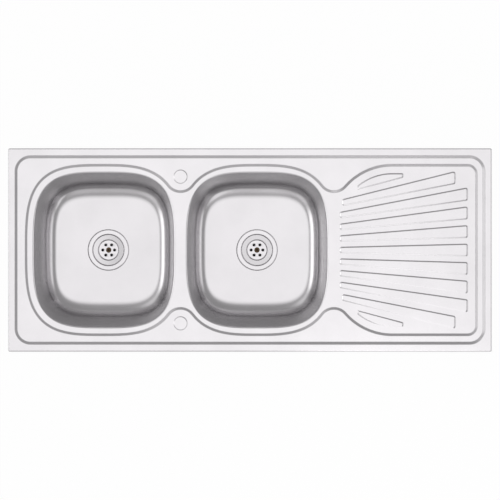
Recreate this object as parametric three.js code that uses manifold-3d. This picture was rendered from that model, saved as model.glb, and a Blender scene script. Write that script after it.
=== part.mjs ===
// Double bowl inset kitchen sink with a fan-ribbed drainer, pressed and welded from stainless steel sheet.
//
// Millimetres. X runs along the sink from the left bowl to the drainer, Y runs to the back and Z is up.
// The origin is the middle of the sink on the worktop surface that its rim stands on.

import * as THREE from "three";
import { mergeVertices } from "three/addons/utils/BufferGeometryUtils.js";
import Module from "manifold-3d";

const wasm = await Module();
wasm.setup();

// ---------------------------------------------------------------- driving dimensions

const seat = 0.3; // gap between two separate pieces that touch

// Pressed panel
const sinkLength = 1200;
const sinkWidth = 505;
const sheet = 0.8; // stainless steel sheet of the panel and the bowls
const rimHeight = 6; // top of the rim above the worktop
const outerCornerRadius = 4;
const rimRollRadius = 3; // the rim's edge is rolled down over this radius
const rimBandX = 15.4; // flat band of the rim at the two ends
const rimBandY = 17.1; // flat band of the rim at front and back
const rimSlopeWidth = 8.5; // plan width of the slope from the rim to the deck
const rimInnerRadius = 36;
const deckDrop = 2.6; // deck below the rim
const wetDrop = 2.2; // bowls and drainer below the deck
const wetSlopeWidth = 7.8;

// Bowl openings, in the flat sheet where the roll into the bowl begins. The drainer has a length of its own,
// and the two bowls share what it leaves.
const mouthInset = 57; // front or back edge of the sink to an opening
const mouthEndInset = 59.1; // left end of the sink to the left opening
const mouthGap = 24.8;
const mouthExponent = 3.4; // superellipse exponent of the opening
const mouthRollRadius = 5;
const collarLength = 4; // straight edge below the roll, that the bowl is welded to
const wallDraft = 9.5; // mean lean of the bowl walls, degrees

// Contour of the lowered zone round the bowls and the drainer
const landing = 14.9; // flat from a bowl opening to the middle of the contour's slope
const lobeExponent = 3.05;
const endLobeExponent = 3.35; // the left bowl's contour is squarer towards the end of the sink
const peninsulaRadius = 38; // nose of the raised deck that reaches in between the bowls
const shoulderRadius = 155; // sweep from the nose beside the drainer to the drainer's straight edge
const drainerLength = 366.1; // right opening to the middle of the contour's slope at the end
const drainerEndInset = 38; // middle of that slope to the right end of the sink
const drainerCornerRadius = 22;

// Drainer ribs: wedges that fan out from one point on the sink's middle line
const fanReach = 521.8; // the fan's point to the ribs' narrow ends
const fanMargin = 30.75; // contour's middle to the outermost ray, at the end of the rib on that ray
const ribsEachSide = 4;
const ribRise = 1.4;
const ribSlopeWidth = 3.4;
const ribStartGap = 28.1; // right opening to the ribs' narrow ends
const ribEndGap = 23; // the ribs' wide ends to the contour's middle
const outerRibStartGap = 34.1;
const outerRibEndGap = 53.5;
const ribStartWidth = 12.9;
const ribEndWidth = 28.8;
const ribCornerRadius = 4;
const shortRibSweep = 39.4; // degrees of the shoulder that its outer edge follows
const shortRibStraight = 25.8;
const shortRibInset = 21.2; // contour's middle to the short rib's outer edge
const shortRibEndWidth = 8.6;
const shortRibCornerRadius = 2.5;

// Tap holes: half-punched blanks that the fitter knocks out
const tapHoleInset = 70.5; // front or back edge of the sink to the middle of the hole
const tapHoleRadius = 17.5;
const tapBlankRise = 1;
const tapBlankEdge = 2; // plan width of the sheared slope round the blank

// Bowls
const bowlDepth = 146; // worktop surface to the edge of the bowl's floor
const floorInsetX = 49.5; // opening in the panel to the edge of the bowl's floor
const floorInsetY = 68;
const floorExponent = 4.1;
const filletHeight = 25; // height of the sweep from the wall to the floor
const wallShare = 0.34; // share of the wall's whole inset that its straight part takes
const floorFall = 2; // fall of the floor to the waste
const recessRadius = 53;
const recessSeatRadius = 52;
const recessDepth = 2.5;
const wasteHoleRadius = 45;

// Waste fittings
const flangeRadius = 51.5;
const flangeSheet = 1;
const flangeBevel = 1;
const flangeBevelDrop = 0.6;
const dishRadius = 40; // step from the flange down to the plug's seat
const dishDepth = 4;
const dishFall = 1; // fall of the plug's seat to the strainer
const strainerRadius = 26; // step from the plug's seat down to the strainer
const strainerDepth = 4;
const stepWidth = 2; // plan width of each step
const strainerHoles = 6;
const strainerHoleRadius = 3.7;
const strainerPitchRadius = 15;
const upperGasketThickness = 1.2;
const upperGasketWidth = 4.5;
const lowerGasketThickness = 3;
const lowerGasketWidth = 7;
const bodyFlangeThickness = 4;
const bodyWall = 2.5;
const cupRadius = 43.5; // inside of the waste body's cup
const cupDepth = 22; // straight part of the cup below the body's flange
const coneDepth = 14;
const tailRadius = 23.9; // outside of the inch-and-a-half thread
const tailBoreRadius = 19.5;
const tailLength = 36;
const threadPitch = 6;
const threadDepth = 1;
const spiderArms = 3; // they carry the screw's boss
const spiderTurn = 30; // degrees, so that no arm lies under a strainer hole
const spiderWidth = 3;
const spiderDepth = 10;
const bossRadius = 7.5;
const screwRadius = 3;
const screwHeadRadius = 5.5;
const screwHeadDepth = 2.5;
const screwSocketFlats = 5.5;
const screwSocketDepth = 2;
const screwPoint = 1; // chamfer on the screw's end
const screwOverhang = 3; // the screw's end below its boss
const dimpleMargin = 1.5; // screw's head to the rim of the dimple that it lies in
const dimplePlay = 0.5; // depth left over above the screw's head
const screwPlay = 0.7; // strainer round the screw's shank
const wasteNutFlats = 10;
const wasteNutThickness = 5;

// Sound-deadening pads under the bowls, as shares of the way from the floor's edge to the waste recess
const padOuterShare = 0.12;
const padInnerShare = 0.72;
const padThickness = 3;

// Foam sealing strips under the rim
const sealWidth = 8;
const sealInset = 3.5;

// Fixing clips: bracket, stud, swinging claw and wing nut
const clipEndInset = 200; // end of the sink to the outer clips at front and back
const clipsEachSide = 3;
const bracketWidth = 9;
const bracketSheet = 1.5;
const bracketFoot = 12;
const bracketSpan = 24;
const bracketDrop = 9;
const studRadius = 3;
const studLength = 60;
const studHeadRadius = 6;
const studHeadThickness = 2.5;
const studPoint = 1;
const boreClearance = 0.3;
const clawReach = 34;
const clawWidth = 14;
const clawSheet = 3;
const clawTipHeight = 10;
const clawTeeth = 4;
const clawToothDepth = 2;
const clawDrop = 42; // worktop surface to the claw's teeth when fully lowered
const wingNutHeight = 8;
const wingNutHubRadius = 5.5;
const wingSpan = 26;
const wingThickness = 2;
const wingRoot = 2; // how far a wing reaches into the hub
const wingEdge = 1; // hub's ends to the wing's edges at its root
const wingDrop = 5; // the wings' tips below the hub
const wingTipWidth = 3;

// Facets
const mouthSteps = 40;
const roundSteps = 20;
const smallRoundSteps = 8;

const through = 1; // how far a cutting tool reaches past what it cuts

// ---------------------------------------------------------------- colours

const steel = { color: 0xd6d4d6, metalness: 1, roughness: 0.28 };
const polishedSteel = { color: 0xdedcde, metalness: 1, roughness: 0.15 };
const zincedSteel = { color: 0xb9bcc0, metalness: 1, roughness: 0.4 };
const brass = { color: 0x4f3b24, metalness: 1, roughness: 0.4 };
const blackPlastic = { color: 0x262628, metalness: 0, roughness: 0.5 };
const blackRubber = { color: 0x1c1c1e, metalness: 0, roughness: 0.85 };
const greyFoam = { color: 0x3a3b3d, metalness: 0, roughness: 0.95 };
const bitumen = { color: 0x4b4c50, metalness: 0, roughness: 0.9 };

// ---------------------------------------------------------------- outlines, all anticlockwise

const radians = THREE.MathUtils.degToRad;
const degrees = THREE.MathUtils.radToDeg;
const lerp = THREE.MathUtils.lerp;
const signedPower = (value, power) => Math.sign(value) * Math.abs(value) ** power;

function arcPoints(centreX, centreY, radius, fromDegrees, toDegrees, steps) {
  return Array.from({ length: steps + 1 }, (_, i) => {
    const angle = radians(lerp(fromDegrees, toDegrees, i / steps));
    return new THREE.Vector2(centreX + radius * Math.cos(angle), centreY + radius * Math.sin(angle));
  });
}

function circle(radius, steps, centreX = 0, centreY = 0) {
  return arcPoints(centreX, centreY, radius, 0, 360, steps).slice(0, -1);
}

function roundedRectangle(halfX, halfY, radius, steps) {
  const x = halfX - radius;
  const y = halfY - radius;
  return [
    ...arcPoints(x, y, radius, 0, 90, steps),
    ...arcPoints(-x, y, radius, 90, 180, steps),
    ...arcPoints(-x, -y, radius, 180, 270, steps),
    ...arcPoints(x, -y, radius, 270, 360, steps),
  ];
}

function superellipsePoint(halfX, halfY, exponent, angle, centreX = 0) {
  return new THREE.Vector2(
    centreX + halfX * signedPower(Math.cos(angle), 2 / exponent),
    halfY * signedPower(Math.sin(angle), 2 / exponent),
  );
}

function superellipse(halfX, halfY, exponent, steps, centreX = 0) {
  return Array.from({ length: steps }, (_, i) =>
    superellipsePoint(halfX, halfY, exponent, (2 * Math.PI * i) / steps, centreX),
  );
}

// Moves an outline outwards by a distance, or inwards where the distance is negative.
function offsetLoop(loop, distance) {
  return loop.map((point, i) => {
    const before = point.clone().sub(loop.at(i - 1)).normalize();
    const after = loop[(i + 1) % loop.length].clone().sub(point).normalize();
    const normal = new THREE.Vector2(before.y + after.y, -before.x - after.x).normalize();
    const share = normal.x * before.y - normal.y * before.x;
    return point.clone().addScaledVector(normal, distance / share);
  });
}

// Rounds every corner of an outline of straight edges.
function roundCorners(corners, radius, steps) {
  return corners.flatMap((corner, i) => {
    const before = corners.at(i - 1).clone().sub(corner).normalize();
    const after = corners[(i + 1) % corners.length].clone().sub(corner).normalize();
    const halfAngle = Math.acos(THREE.MathUtils.clamp(before.dot(after), -1, 1)) / 2;
    const inwards = before.clone().add(after).normalize();
    const centre = inwards.multiplyScalar(radius / Math.sin(halfAngle)).add(corner);
    const start = before.multiplyScalar(radius / Math.tan(halfAngle)).add(corner).sub(centre);
    const turn = Math.PI - 2 * halfAngle;
    return Array.from({ length: steps + 1 }, (_, k) =>
      start.clone().rotateAround(new THREE.Vector2(), (turn * k) / steps).add(centre),
    );
  });
}

const at = (loop, z) => loop.map((point) => new THREE.Vector3(point.x, point.y, z));

// ---------------------------------------------------------------- solids

function geometryOf(corners) {
  return new THREE.BufferGeometry().setFromPoints(corners);
}

function bandCorners(outer, inner) {
  return outer.flatMap((point, i) => {
    const next = (i + 1) % outer.length;
    return [point, outer[next], inner[next], point, inner[next], inner[i]];
  });
}

// A sheet metal pressing. Each ring is an outline with its place on the sheet's face and on its back, and the
// pressing is bands between rings, flats with holes, and the cut edges where the sheet ends.
class Pressing {
  corners = [];

  band(outer, inner) {
    this.corners.push(...bandCorners(outer.face, inner.face));
    this.corners.push(...bandCorners(outer.back, inner.back).reverse());
  }

  flat(outer, holes = []) {
    const plan = (ring) => ring.face.map((point) => new THREE.Vector2(point.x, point.y));
    const rings = [outer, ...holes];
    const face = rings.flatMap((ring) => ring.face);
    const back = rings.flatMap((ring) => ring.back);
    for (const [a, b, c] of THREE.ShapeUtils.triangulateShape(plan(outer), holes.map(plan))) {
      const area = THREE.ShapeUtils.area([face[a], face[b], face[c]]);
      const [p, q, r] = area > 0 ? [a, b, c] : [a, c, b];
      this.corners.push(face[p], face[q], face[r], back[p], back[r], back[q]);
    }
  }

  endOutside(ring) {
    this.corners.push(...bandCorners(ring.back, ring.face));
  }

  endInside(ring) {
    this.corners.push(...bandCorners(ring.face, ring.back));
  }
}

const levelRing = (loop, z) => ({ face: at(loop, z), back: at(loop, z - sheet) });

// A ring on a bend: lean is the sheet's angle from level, and side is 1 where the back lies outside the face.
function bentRing(loop, z, lean, side) {
  const back = offsetLoop(loop, side * sheet * Math.sin(radians(lean)));
  return { face: at(loop, z), back: at(back, z - sheet * Math.cos(radians(lean))) };
}

// A solid whose section, at every point of its outline, is the closed run of rings.
function closedLoft(rings) {
  return geometryOf(rings.flatMap((ring, i) => bandCorners(ring, rings[(i + 1) % rings.length])));
}

function lathe(profile, steps = roundSteps) {
  const points = profile.map(([radius, z]) => new THREE.Vector2(radius, z));
  return new THREE.LatheGeometry(points, steps).rotateX(Math.PI / 2);
}

function plate(outline, bottom, height) {
  const settings = { depth: height, bevelEnabled: false };
  return new THREE.ExtrudeGeometry(new THREE.Shape(outline), settings).translate(0, 0, bottom);
}

const bolt = (radius, bottom, height) => plate(circle(radius, smallRoundSteps), bottom, height);
const drill = (radius, bottom, height) => bolt(radius, bottom - through, height + 2 * through);

// A plate whose outline is drawn in X and Z, and whose thickness runs along Y.
function uprightPlate(outline, width) {
  return plate(outline, -width / 2, width).rotateX(Math.PI / 2);
}

function solidOf(geometry) {
  const plain = geometry.clone().deleteAttribute("normal").deleteAttribute("uv");
  const merged = mergeVertices(plain, 1e-4);
  const mesh = { numProp: 3, vertProperties: merged.attributes.position.array, triVerts: merged.index.array };
  return new wasm.Manifold(new wasm.Mesh({ ...mesh, triVerts: new Uint32Array(mesh.triVerts) }));
}

function geometryFrom(solid) {
  const { vertProperties, triVerts } = solid.getMesh();
  return new THREE.BufferGeometry()
    .setAttribute("position", new THREE.BufferAttribute(new Float32Array(vertProperties), 3))
    .setIndex(new THREE.BufferAttribute(new Uint32Array(triVerts), 1));
}

const cut = (geometry, ...tools) =>
  geometryFrom(tools.reduce((solid, tool) => solid.subtract(solidOf(tool)), solidOf(geometry)));
const join = (...geometries) => geometryFrom(geometries.map(solidOf).reduce((a, b) => a.add(b)));
const common = (a, b) => geometryFrom(solidOf(a).intersect(solidOf(b)));

// ---------------------------------------------------------------- levels and outlines of the panel

const deckLevel = rimHeight - deckDrop;
const wetLevel = deckLevel - wetDrop;
const drainerEndX = sinkLength / 2 - drainerEndInset;
const drainerStartX = drainerEndX - drainerLength;
const mouthHalfX = (drainerStartX - mouthGap - mouthEndInset + sinkLength / 2) / 4;
const bowlPitch = 2 * mouthHalfX + mouthGap;
const rightBowlX = drainerStartX - mouthHalfX;
const leftBowlX = rightBowlX - bowlPitch;
const mouthHalfY = sinkWidth / 2 - mouthInset;
const wetHalfX = mouthHalfX + landing;
const wetHalfY = mouthHalfY + landing;
const rimSlopeMiddle = roundedRectangle(
  sinkLength / 2 - rimBandX - rimSlopeWidth / 2,
  sinkWidth / 2 - rimBandY - rimSlopeWidth / 2,
  rimInnerRadius,
  6,
);

const lobePoint = (angle, centreX, exponent = lobeExponent) =>
  superellipsePoint(wetHalfX, wetHalfY, exponent, angle, centreX);

// The nose of the deck is an arc that touches the contour round a bowl: how far back its middle lies, and the
// angle on the contour where it touches.
function noseBesideBowl() {
  const searchSteps = 900;
  const angles = Array.from({ length: searchSteps + 1 }, (_, i) => ((Math.PI / 2) * i) / searchSteps);
  const halvings = 40;
  const nearest = (centre) => {
    const distances = angles.map((angle) => lobePoint(angle, 0).distanceTo(centre));
    const distance = Math.min(...distances);
    return { distance, angle: angles[distances.indexOf(distance)] };
  };
  let low = wetHalfY / 2;
  let high = 2 * wetHalfY;
  for (let i = 0; i < halvings; i++) {
    const middle = (low + high) / 2;
    if (nearest(new THREE.Vector2(bowlPitch / 2, middle)).distance < peninsulaRadius) low = middle;
    else high = middle;
  }
  const centreY = (low + high) / 2;
  return { centreY, touchAngle: nearest(new THREE.Vector2(bowlPitch / 2, centreY)).angle };
}

const nose = noseBesideBowl();
const noseLeftX = (leftBowlX + rightBowlX) / 2;
const noseRightX = rightBowlX + bowlPitch / 2;
const shoulderY = wetHalfY - shoulderRadius;
const shoulderX =
  noseRightX + Math.sqrt((shoulderRadius + peninsulaRadius) ** 2 - (nose.centreY - shoulderY) ** 2);

function lobePoints(centreX, fromAngle, toAngle, steps, exponent) {
  return Array.from({ length: steps + 1 }, (_, i) =>
    lobePoint(lerp(fromAngle, toAngle, i / steps), centreX, exponent),
  );
}

function wetOutline() {
  const bowlTouch = nose.touchAngle;
  const touchPoint = lobePoint(bowlTouch, -bowlPitch / 2);
  const touch = degrees(Math.atan2(nose.centreY - touchPoint.y, -touchPoint.x)) - 180;
  const shoulderTouch = degrees(Math.atan2(nose.centreY - shoulderY, noseRightX - shoulderX));
  const cornerX = drainerEndX - drainerCornerRadius;
  const cornerY = wetHalfY - drainerCornerRadius;
  const backHalf = [
    ...arcPoints(cornerX, cornerY, drainerCornerRadius, 0, 90, 4),
    ...arcPoints(shoulderX, shoulderY, shoulderRadius, 90, shoulderTouch, 6),
    ...arcPoints(noseRightX, nose.centreY, peninsulaRadius, shoulderTouch - 180, touch, 6).slice(1),
    ...lobePoints(rightBowlX, bowlTouch, Math.PI - bowlTouch, 12).slice(1),
    ...arcPoints(noseLeftX, nose.centreY, peninsulaRadius, -180 - touch, touch, 6).slice(1),
    ...lobePoints(leftBowlX, bowlTouch, Math.PI / 2, 6).slice(1),
    ...lobePoints(leftBowlX, Math.PI / 2, Math.PI, 11, endLobeExponent).slice(1),
  ];
  const frontHalf = backHalf.slice(0, -1).reverse();
  return [...backHalf, ...frontHalf.map((point) => new THREE.Vector2(point.x, -point.y))];
}

// ---------------------------------------------------------------- drainer ribs

const fanX = drainerStartX + ribStartGap - fanReach;
const outerRibStartReach = drainerStartX + outerRibStartGap - fanX;
const ribEndReach = drainerEndX - ribEndGap - fanX;
const outerRibEndReach = drainerEndX - outerRibEndGap - fanX;
const fanPitch = degrees(Math.atan((wetHalfY - fanMargin) / outerRibEndReach)) / ribsEachSide;
const ribTaper = (ribEndWidth - ribStartWidth) / (ribEndReach - fanReach);
const ribHalfWidth = (reach) => (ribStartWidth + (reach - fanReach) * ribTaper) / 2;

// Where a rib's long edge, on one side of its ray, meets the line across the sink at a reach from the fan.
function ribCorner(rayDegrees, side, reach) {
  const edgeLean = Math.atan(ribTaper / 2) * side;
  const edgeStart = new THREE.Vector2(0, side * ribHalfWidth(0)).rotateAround(
    new THREE.Vector2(),
    radians(rayDegrees),
  );
  const slope = Math.tan(radians(rayDegrees) + edgeLean);
  return new THREE.Vector2(fanX + reach, edgeStart.y + slope * (reach - edgeStart.x));
}

function longRib(index) {
  const ray = index * fanPitch;
  const outermost = Math.abs(index) === ribsEachSide;
  const start = outermost ? outerRibStartReach : fanReach;
  const end = outermost ? outerRibEndReach : ribEndReach;
  const corners = [
    ribCorner(ray, -1, start),
    ribCorner(ray, -1, end),
    ribCorner(ray, 1, end),
    ribCorner(ray, 1, start),
  ];
  return roundCorners(corners, ribCornerRadius, 2);
}

// The short rib lies between a ray of the fan and the contour's shoulder.
function shortRib() {
  const outerRadius = shoulderRadius - shortRibInset;
  const sweep = arcPoints(shoulderX, shoulderY, outerRadius, 90, 90 + shortRibSweep, 4);
  const startX = sweep.at(-1).x;
  const endX = shoulderX + shortRibStraight;
  const outerY = wetHalfY - shortRibInset;
  const innerSlope = (outerY - shortRibEndWidth) / (endX - fanX);
  const innerPoint = (x) => new THREE.Vector2(x, (x - fanX) * innerSlope);
  const outerPoint = (x) => new THREE.Vector2(x, outerY);
  const box = [innerPoint(endX), outerPoint(endX), outerPoint(startX), innerPoint(startX)];
  const cornerSteps = 2;
  const roundedEnd = roundCorners(box, shortRibCornerRadius, cornerSteps).slice(0, 2 * (cornerSteps + 1));
  return [innerPoint(startX), ...roundedEnd, ...sweep];
}

const mirrorFrontBack = (loop) => loop.map((point) => new THREE.Vector2(point.x, -point.y)).reverse();

function ribOutlines() {
  const long = Array.from({ length: 2 * ribsEachSide + 1 }, (_, i) => longRib(i - ribsEachSide));
  return [...long, shortRib(), mirrorFrontBack(shortRib())];
}

// ---------------------------------------------------------------- panel

const wallLean = 90 - wallDraft;
const rollLeans = [0, 1 / 3, 2 / 3, 1].map((share) => share * 90);
const mouthLeans = [0, 1 / 3, 2 / 3, 1].map((share) => share * wallLean);

function rimRings() {
  const outline = roundedRectangle(sinkLength / 2, sinkWidth / 2, outerCornerRadius, 3);
  const rolled = rollLeans.map((lean) => {
    const inset = rimRollRadius * (1 - Math.sin(radians(lean)));
    const z = rimHeight - rimRollRadius * (1 - Math.cos(radians(lean)));
    return bentRing(offsetLoop(outline, -inset), z, lean, -1);
  });
  return [...rolled, bentRing(outline, seat, 90, -1)];
}

const mouthRoll = (lean) => ({
  inset: mouthRollRadius * Math.sin(radians(lean)),
  z: wetLevel - mouthRollRadius * (1 - Math.cos(radians(lean))),
});

// The lower edge of the collar that the panel turns down into each bowl.
const collar = {
  inset: mouthRoll(wallLean).inset + collarLength * Math.sin(radians(wallDraft)),
  z: mouthRoll(wallLean).z - collarLength * Math.cos(radians(wallDraft)),
};

const mouthOutline = (centreX, inset) =>
  offsetLoop(superellipse(mouthHalfX, mouthHalfY, mouthExponent, mouthSteps, centreX), -inset);

function mouthRings(centreX) {
  const rolled = mouthLeans.map((lean) => {
    const { inset, z } = mouthRoll(lean);
    return bentRing(mouthOutline(centreX, inset), z, lean, 1);
  });
  return [...rolled, bentRing(mouthOutline(centreX, collar.inset), collar.z, wallLean, 1)];
}

function bandAll(pressing, rings) {
  rings.slice(1).forEach((ring, i) => pressing.band(rings[i], ring));
}

function raisedFlat(pressing, outline, level, rise, edge) {
  const foot = levelRing(offsetLoop(outline, edge / 2), level);
  const top = levelRing(offsetLoop(outline, -edge / 2), level + rise);
  pressing.band(foot, top);
  pressing.flat(top);
  return foot;
}

function panel() {
  const pressing = new Pressing();
  const rim = rimRings();
  bandAll(pressing, [...rim].reverse());
  pressing.endOutside(rim.at(-1));

  const rimSlope = [
    levelRing(offsetLoop(rimSlopeMiddle, rimSlopeWidth / 2), rimHeight),
    levelRing(offsetLoop(rimSlopeMiddle, -rimSlopeWidth / 2), deckLevel),
  ];
  pressing.flat(rim[0], [rimSlope[0]]);
  bandAll(pressing, rimSlope);

  const wetSlope = [
    levelRing(offsetLoop(wetOutline(), wetSlopeWidth / 2), deckLevel),
    levelRing(offsetLoop(wetOutline(), -wetSlopeWidth / 2), wetLevel),
  ];
  const tapHoleY = sinkWidth / 2 - tapHoleInset;
  const tapBlanks = [tapHoleY, -tapHoleY].map((y) => {
    const outline = circle(tapHoleRadius - tapBlankEdge / 2, roundSteps, noseLeftX, y);
    return raisedFlat(pressing, outline, deckLevel, tapBlankRise, tapBlankEdge);
  });
  pressing.flat(rimSlope[1], [wetSlope[0], ...tapBlanks]);
  bandAll(pressing, wetSlope);

  const ribs = ribOutlines().map((outline) =>
    raisedFlat(pressing, outline, wetLevel, ribRise, ribSlopeWidth),
  );
  const mouths = [leftBowlX, rightBowlX].map(mouthRings);
  pressing.flat(wetSlope[1], [...mouths.map((rings) => rings[0]), ...ribs]);
  for (const rings of mouths) {
    bandAll(pressing, rings);
    pressing.endInside(rings.at(-1));
  }
  return geometryOf(pressing.corners);
}

// ---------------------------------------------------------------- bowls

const wallTopZ = collar.z - seat;
const wallTopHalfX = mouthHalfX - collar.inset;
const wallTopHalfY = mouthHalfY - collar.inset;
const floorHalfX = mouthHalfX - floorInsetX;
const floorHalfY = mouthHalfY - floorInsetY;
const floorEdgeZ = -bowlDepth;
const filletTopZ = floorEdgeZ + filletHeight;
const recessTopZ = floorEdgeZ - floorFall;
const recessSeatZ = recessTopZ - recessDepth;

// The outline of the bowl's inside, from the wall's top at share 0 to the floor's edge at share 1.
function bowlOutline(share, steps = mouthSteps) {
  return superellipse(
    lerp(wallTopHalfX, floorHalfX, share),
    lerp(wallTopHalfY, floorHalfY, share),
    lerp(mouthExponent, floorExponent, share),
    steps,
  );
}

// The sweep from wall to floor is part of an ellipse that carries on the wall's slope.
function filletRings(steps) {
  const wallSlope = wallShare / (wallTopZ - filletTopZ);
  const slopeRatio = (wallSlope * filletHeight) / (1 - wallShare);
  const startSine = slopeRatio / (1 - slopeRatio);
  const start = Math.asin(startSine);
  return Array.from({ length: steps }, (_, i) => {
    const angle = lerp(start, Math.PI / 2, (i + 1) / steps);
    const across = 1 - Math.cos(angle) / Math.cos(start);
    const down = (Math.sin(angle) - startSine) / (1 - startSine);
    return {
      loop: bowlOutline(wallShare + (1 - wallShare) * across),
      z: filletTopZ - filletHeight * down,
      lean: wallLean * (1 - (i + 1) / steps),
    };
  });
}

// The floor between its edge, at share 0, and the round recess for the waste, at share 1.
function floorRing(share, steps = mouthSteps) {
  const edge = bowlOutline(1, steps);
  const recess = circle(recessRadius, steps);
  return {
    loop: edge.map((point, i) => point.clone().lerp(recess[i], share)),
    z: floorEdgeZ - floorFall * share,
  };
}

function bowl() {
  const inside = [
    { loop: bowlOutline(0), z: wallTopZ, lean: wallLean },
    { loop: bowlOutline(wallShare), z: filletTopZ, lean: wallLean },
    ...filletRings(4),
    { ...floorRing(1), lean: 0 },
    { loop: circle(recessSeatRadius, mouthSteps), z: recessSeatZ, lean: 0 },
    { loop: circle(wasteHoleRadius, mouthSteps), z: recessSeatZ, lean: 0 },
  ].map(({ loop, z, lean }) => bentRing(loop, z, lean, 1));
  return closedLoft([...inside.map((ring) => ring.face), ...inside.map((ring) => ring.back).reverse()]);
}

// A soft sheet stuck under the bowl's floor, round the waste.
function soundPad() {
  const top = [padOuterShare, padInnerShare].map((share) => {
    const { loop, z } = floorRing(share, mouthSteps / 2);
    return at(loop, z - sheet - seat);
  });
  const lowered = (ring) => ring.map((point) => point.clone().setZ(point.z - padThickness));
  return closedLoft([top[0], top[1], lowered(top[1]), lowered(top[0])]);
}

// ---------------------------------------------------------------- waste fittings

const upperGasketZ = recessSeatZ + seat;
const flangeZ = upperGasketZ + upperGasketThickness + seat; // underside of the flange
const flangeTopZ = flangeZ + flangeSheet;
const plugSeatZ = flangeTopZ - dishDepth; // outer edge of the plug's seat
const strainerTopZ = plugSeatZ - dishFall - strainerDepth;
const lowerGasketTopZ = recessSeatZ - sheet - seat;
const bodyTopZ = lowerGasketTopZ - lowerGasketThickness - seat;
const cupBottomZ = bodyTopZ - cupDepth;
const tailTopZ = cupBottomZ - coneDepth;
const tailEndZ = tailTopZ - tailLength;
const dimpleDepth = screwHeadDepth + dimplePlay;
const bossTopZ = strainerTopZ - flangeSheet - dimpleDepth - seat;
const bossBottomZ = bossTopZ - spiderDepth;

// Flange, plug's seat and strainer are one stepped pressing: a closed profile turned about the waste's axis.
function wasteFlange() {
  const halfStep = stepWidth / 2;
  const dimpleRadius = screwHeadRadius + dimpleMargin;
  const screwPassage = screwRadius + screwPlay;
  const face = [
    [flangeRadius, flangeTopZ - flangeBevelDrop],
    [flangeRadius - flangeBevel, flangeTopZ],
    [dishRadius + halfStep, flangeTopZ],
    [dishRadius - halfStep, plugSeatZ],
    [strainerRadius + halfStep, plugSeatZ - dishFall],
    [strainerRadius - halfStep, strainerTopZ],
    [dimpleRadius, strainerTopZ],
    [screwPassage, strainerTopZ - dimpleDepth],
  ];
  const back = [
    [screwPassage, strainerTopZ - dimpleDepth - flangeSheet],
    [dimpleRadius + flangeSheet / 2, strainerTopZ - flangeSheet],
    [strainerRadius - halfStep + flangeSheet, strainerTopZ - flangeSheet],
    [strainerRadius + halfStep + flangeSheet, plugSeatZ - dishFall - flangeSheet],
    [dishRadius - halfStep + flangeSheet, plugSeatZ - flangeSheet],
    [dishRadius + halfStep + flangeSheet, flangeZ],
    [flangeRadius, flangeZ],
  ];
  const blank = lathe([...face, ...back, face[0]]);
  const holes = Array.from({ length: strainerHoles }, (_, i) => {
    const punch = drill(strainerHoleRadius, strainerTopZ - flangeSheet, flangeSheet);
    return punch.translate(strainerPitchRadius, 0, 0).rotateZ((2 * Math.PI * i) / strainerHoles);
  });
  return cut(blank, ...holes);
}

function gasket(width, topZ, thickness) {
  const innerRadius = wasteHoleRadius;
  const outerRadius = innerRadius + width;
  return lathe([
    [innerRadius, topZ - thickness],
    [outerRadius, topZ - thickness],
    [outerRadius, topZ],
    [innerRadius, topZ],
    [innerRadius, topZ - thickness],
  ]);
}

const wasteNutZ = bossBottomZ + wasteNutThickness - seat; // top of the nut in its pocket
const screwEndZ = bossBottomZ - screwOverhang;

function wasteScrew() {
  const headTop = strainerTopZ - dimpleDepth + screwHeadDepth + seat;
  const headBottom = headTop - screwHeadDepth;
  const screw = lathe(
    [
      [0, screwEndZ],
      [screwRadius - screwPoint / 2, screwEndZ],
      [screwRadius, screwEndZ + screwPoint],
      [screwRadius, headBottom],
      [screwHeadRadius, headTop - screwHeadDepth / 6],
      [screwHeadRadius, headTop],
      [0, headTop],
    ],
    smallRoundSteps,
  );
  const socketDepth = screwSocketDepth + through;
  return cut(screw, plate(hexagon(screwSocketFlats), headTop - screwSocketDepth, socketDepth));
}

function hexagon(flats) {
  return circle(flats / Math.sqrt(3), 6);
}

function wasteNut() {
  const nut = plate(hexagon(wasteNutFlats), wasteNutZ - wasteNutThickness, wasteNutThickness);
  const bore = drill(screwRadius + boreClearance, wasteNutZ - wasteNutThickness, wasteNutThickness);
  return cut(nut, bore);
}

// Arms from the waste body's wall to the boss in its middle that takes the screw and, below, its nut.
function spider() {
  const reach = cupRadius + bodyWall / 2;
  const arm = new THREE.BoxGeometry(reach, spiderWidth, spiderDepth);
  arm.translate(reach / 2, 0, bossTopZ - spiderDepth / 2).rotateZ(radians(spiderTurn));
  const arms = Array.from({ length: spiderArms }, (_, i) =>
    arm.clone().rotateZ((2 * Math.PI * i) / spiderArms),
  );
  return [...arms, plate(circle(bossRadius, roundSteps), bossBottomZ, spiderDepth)];
}

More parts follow.
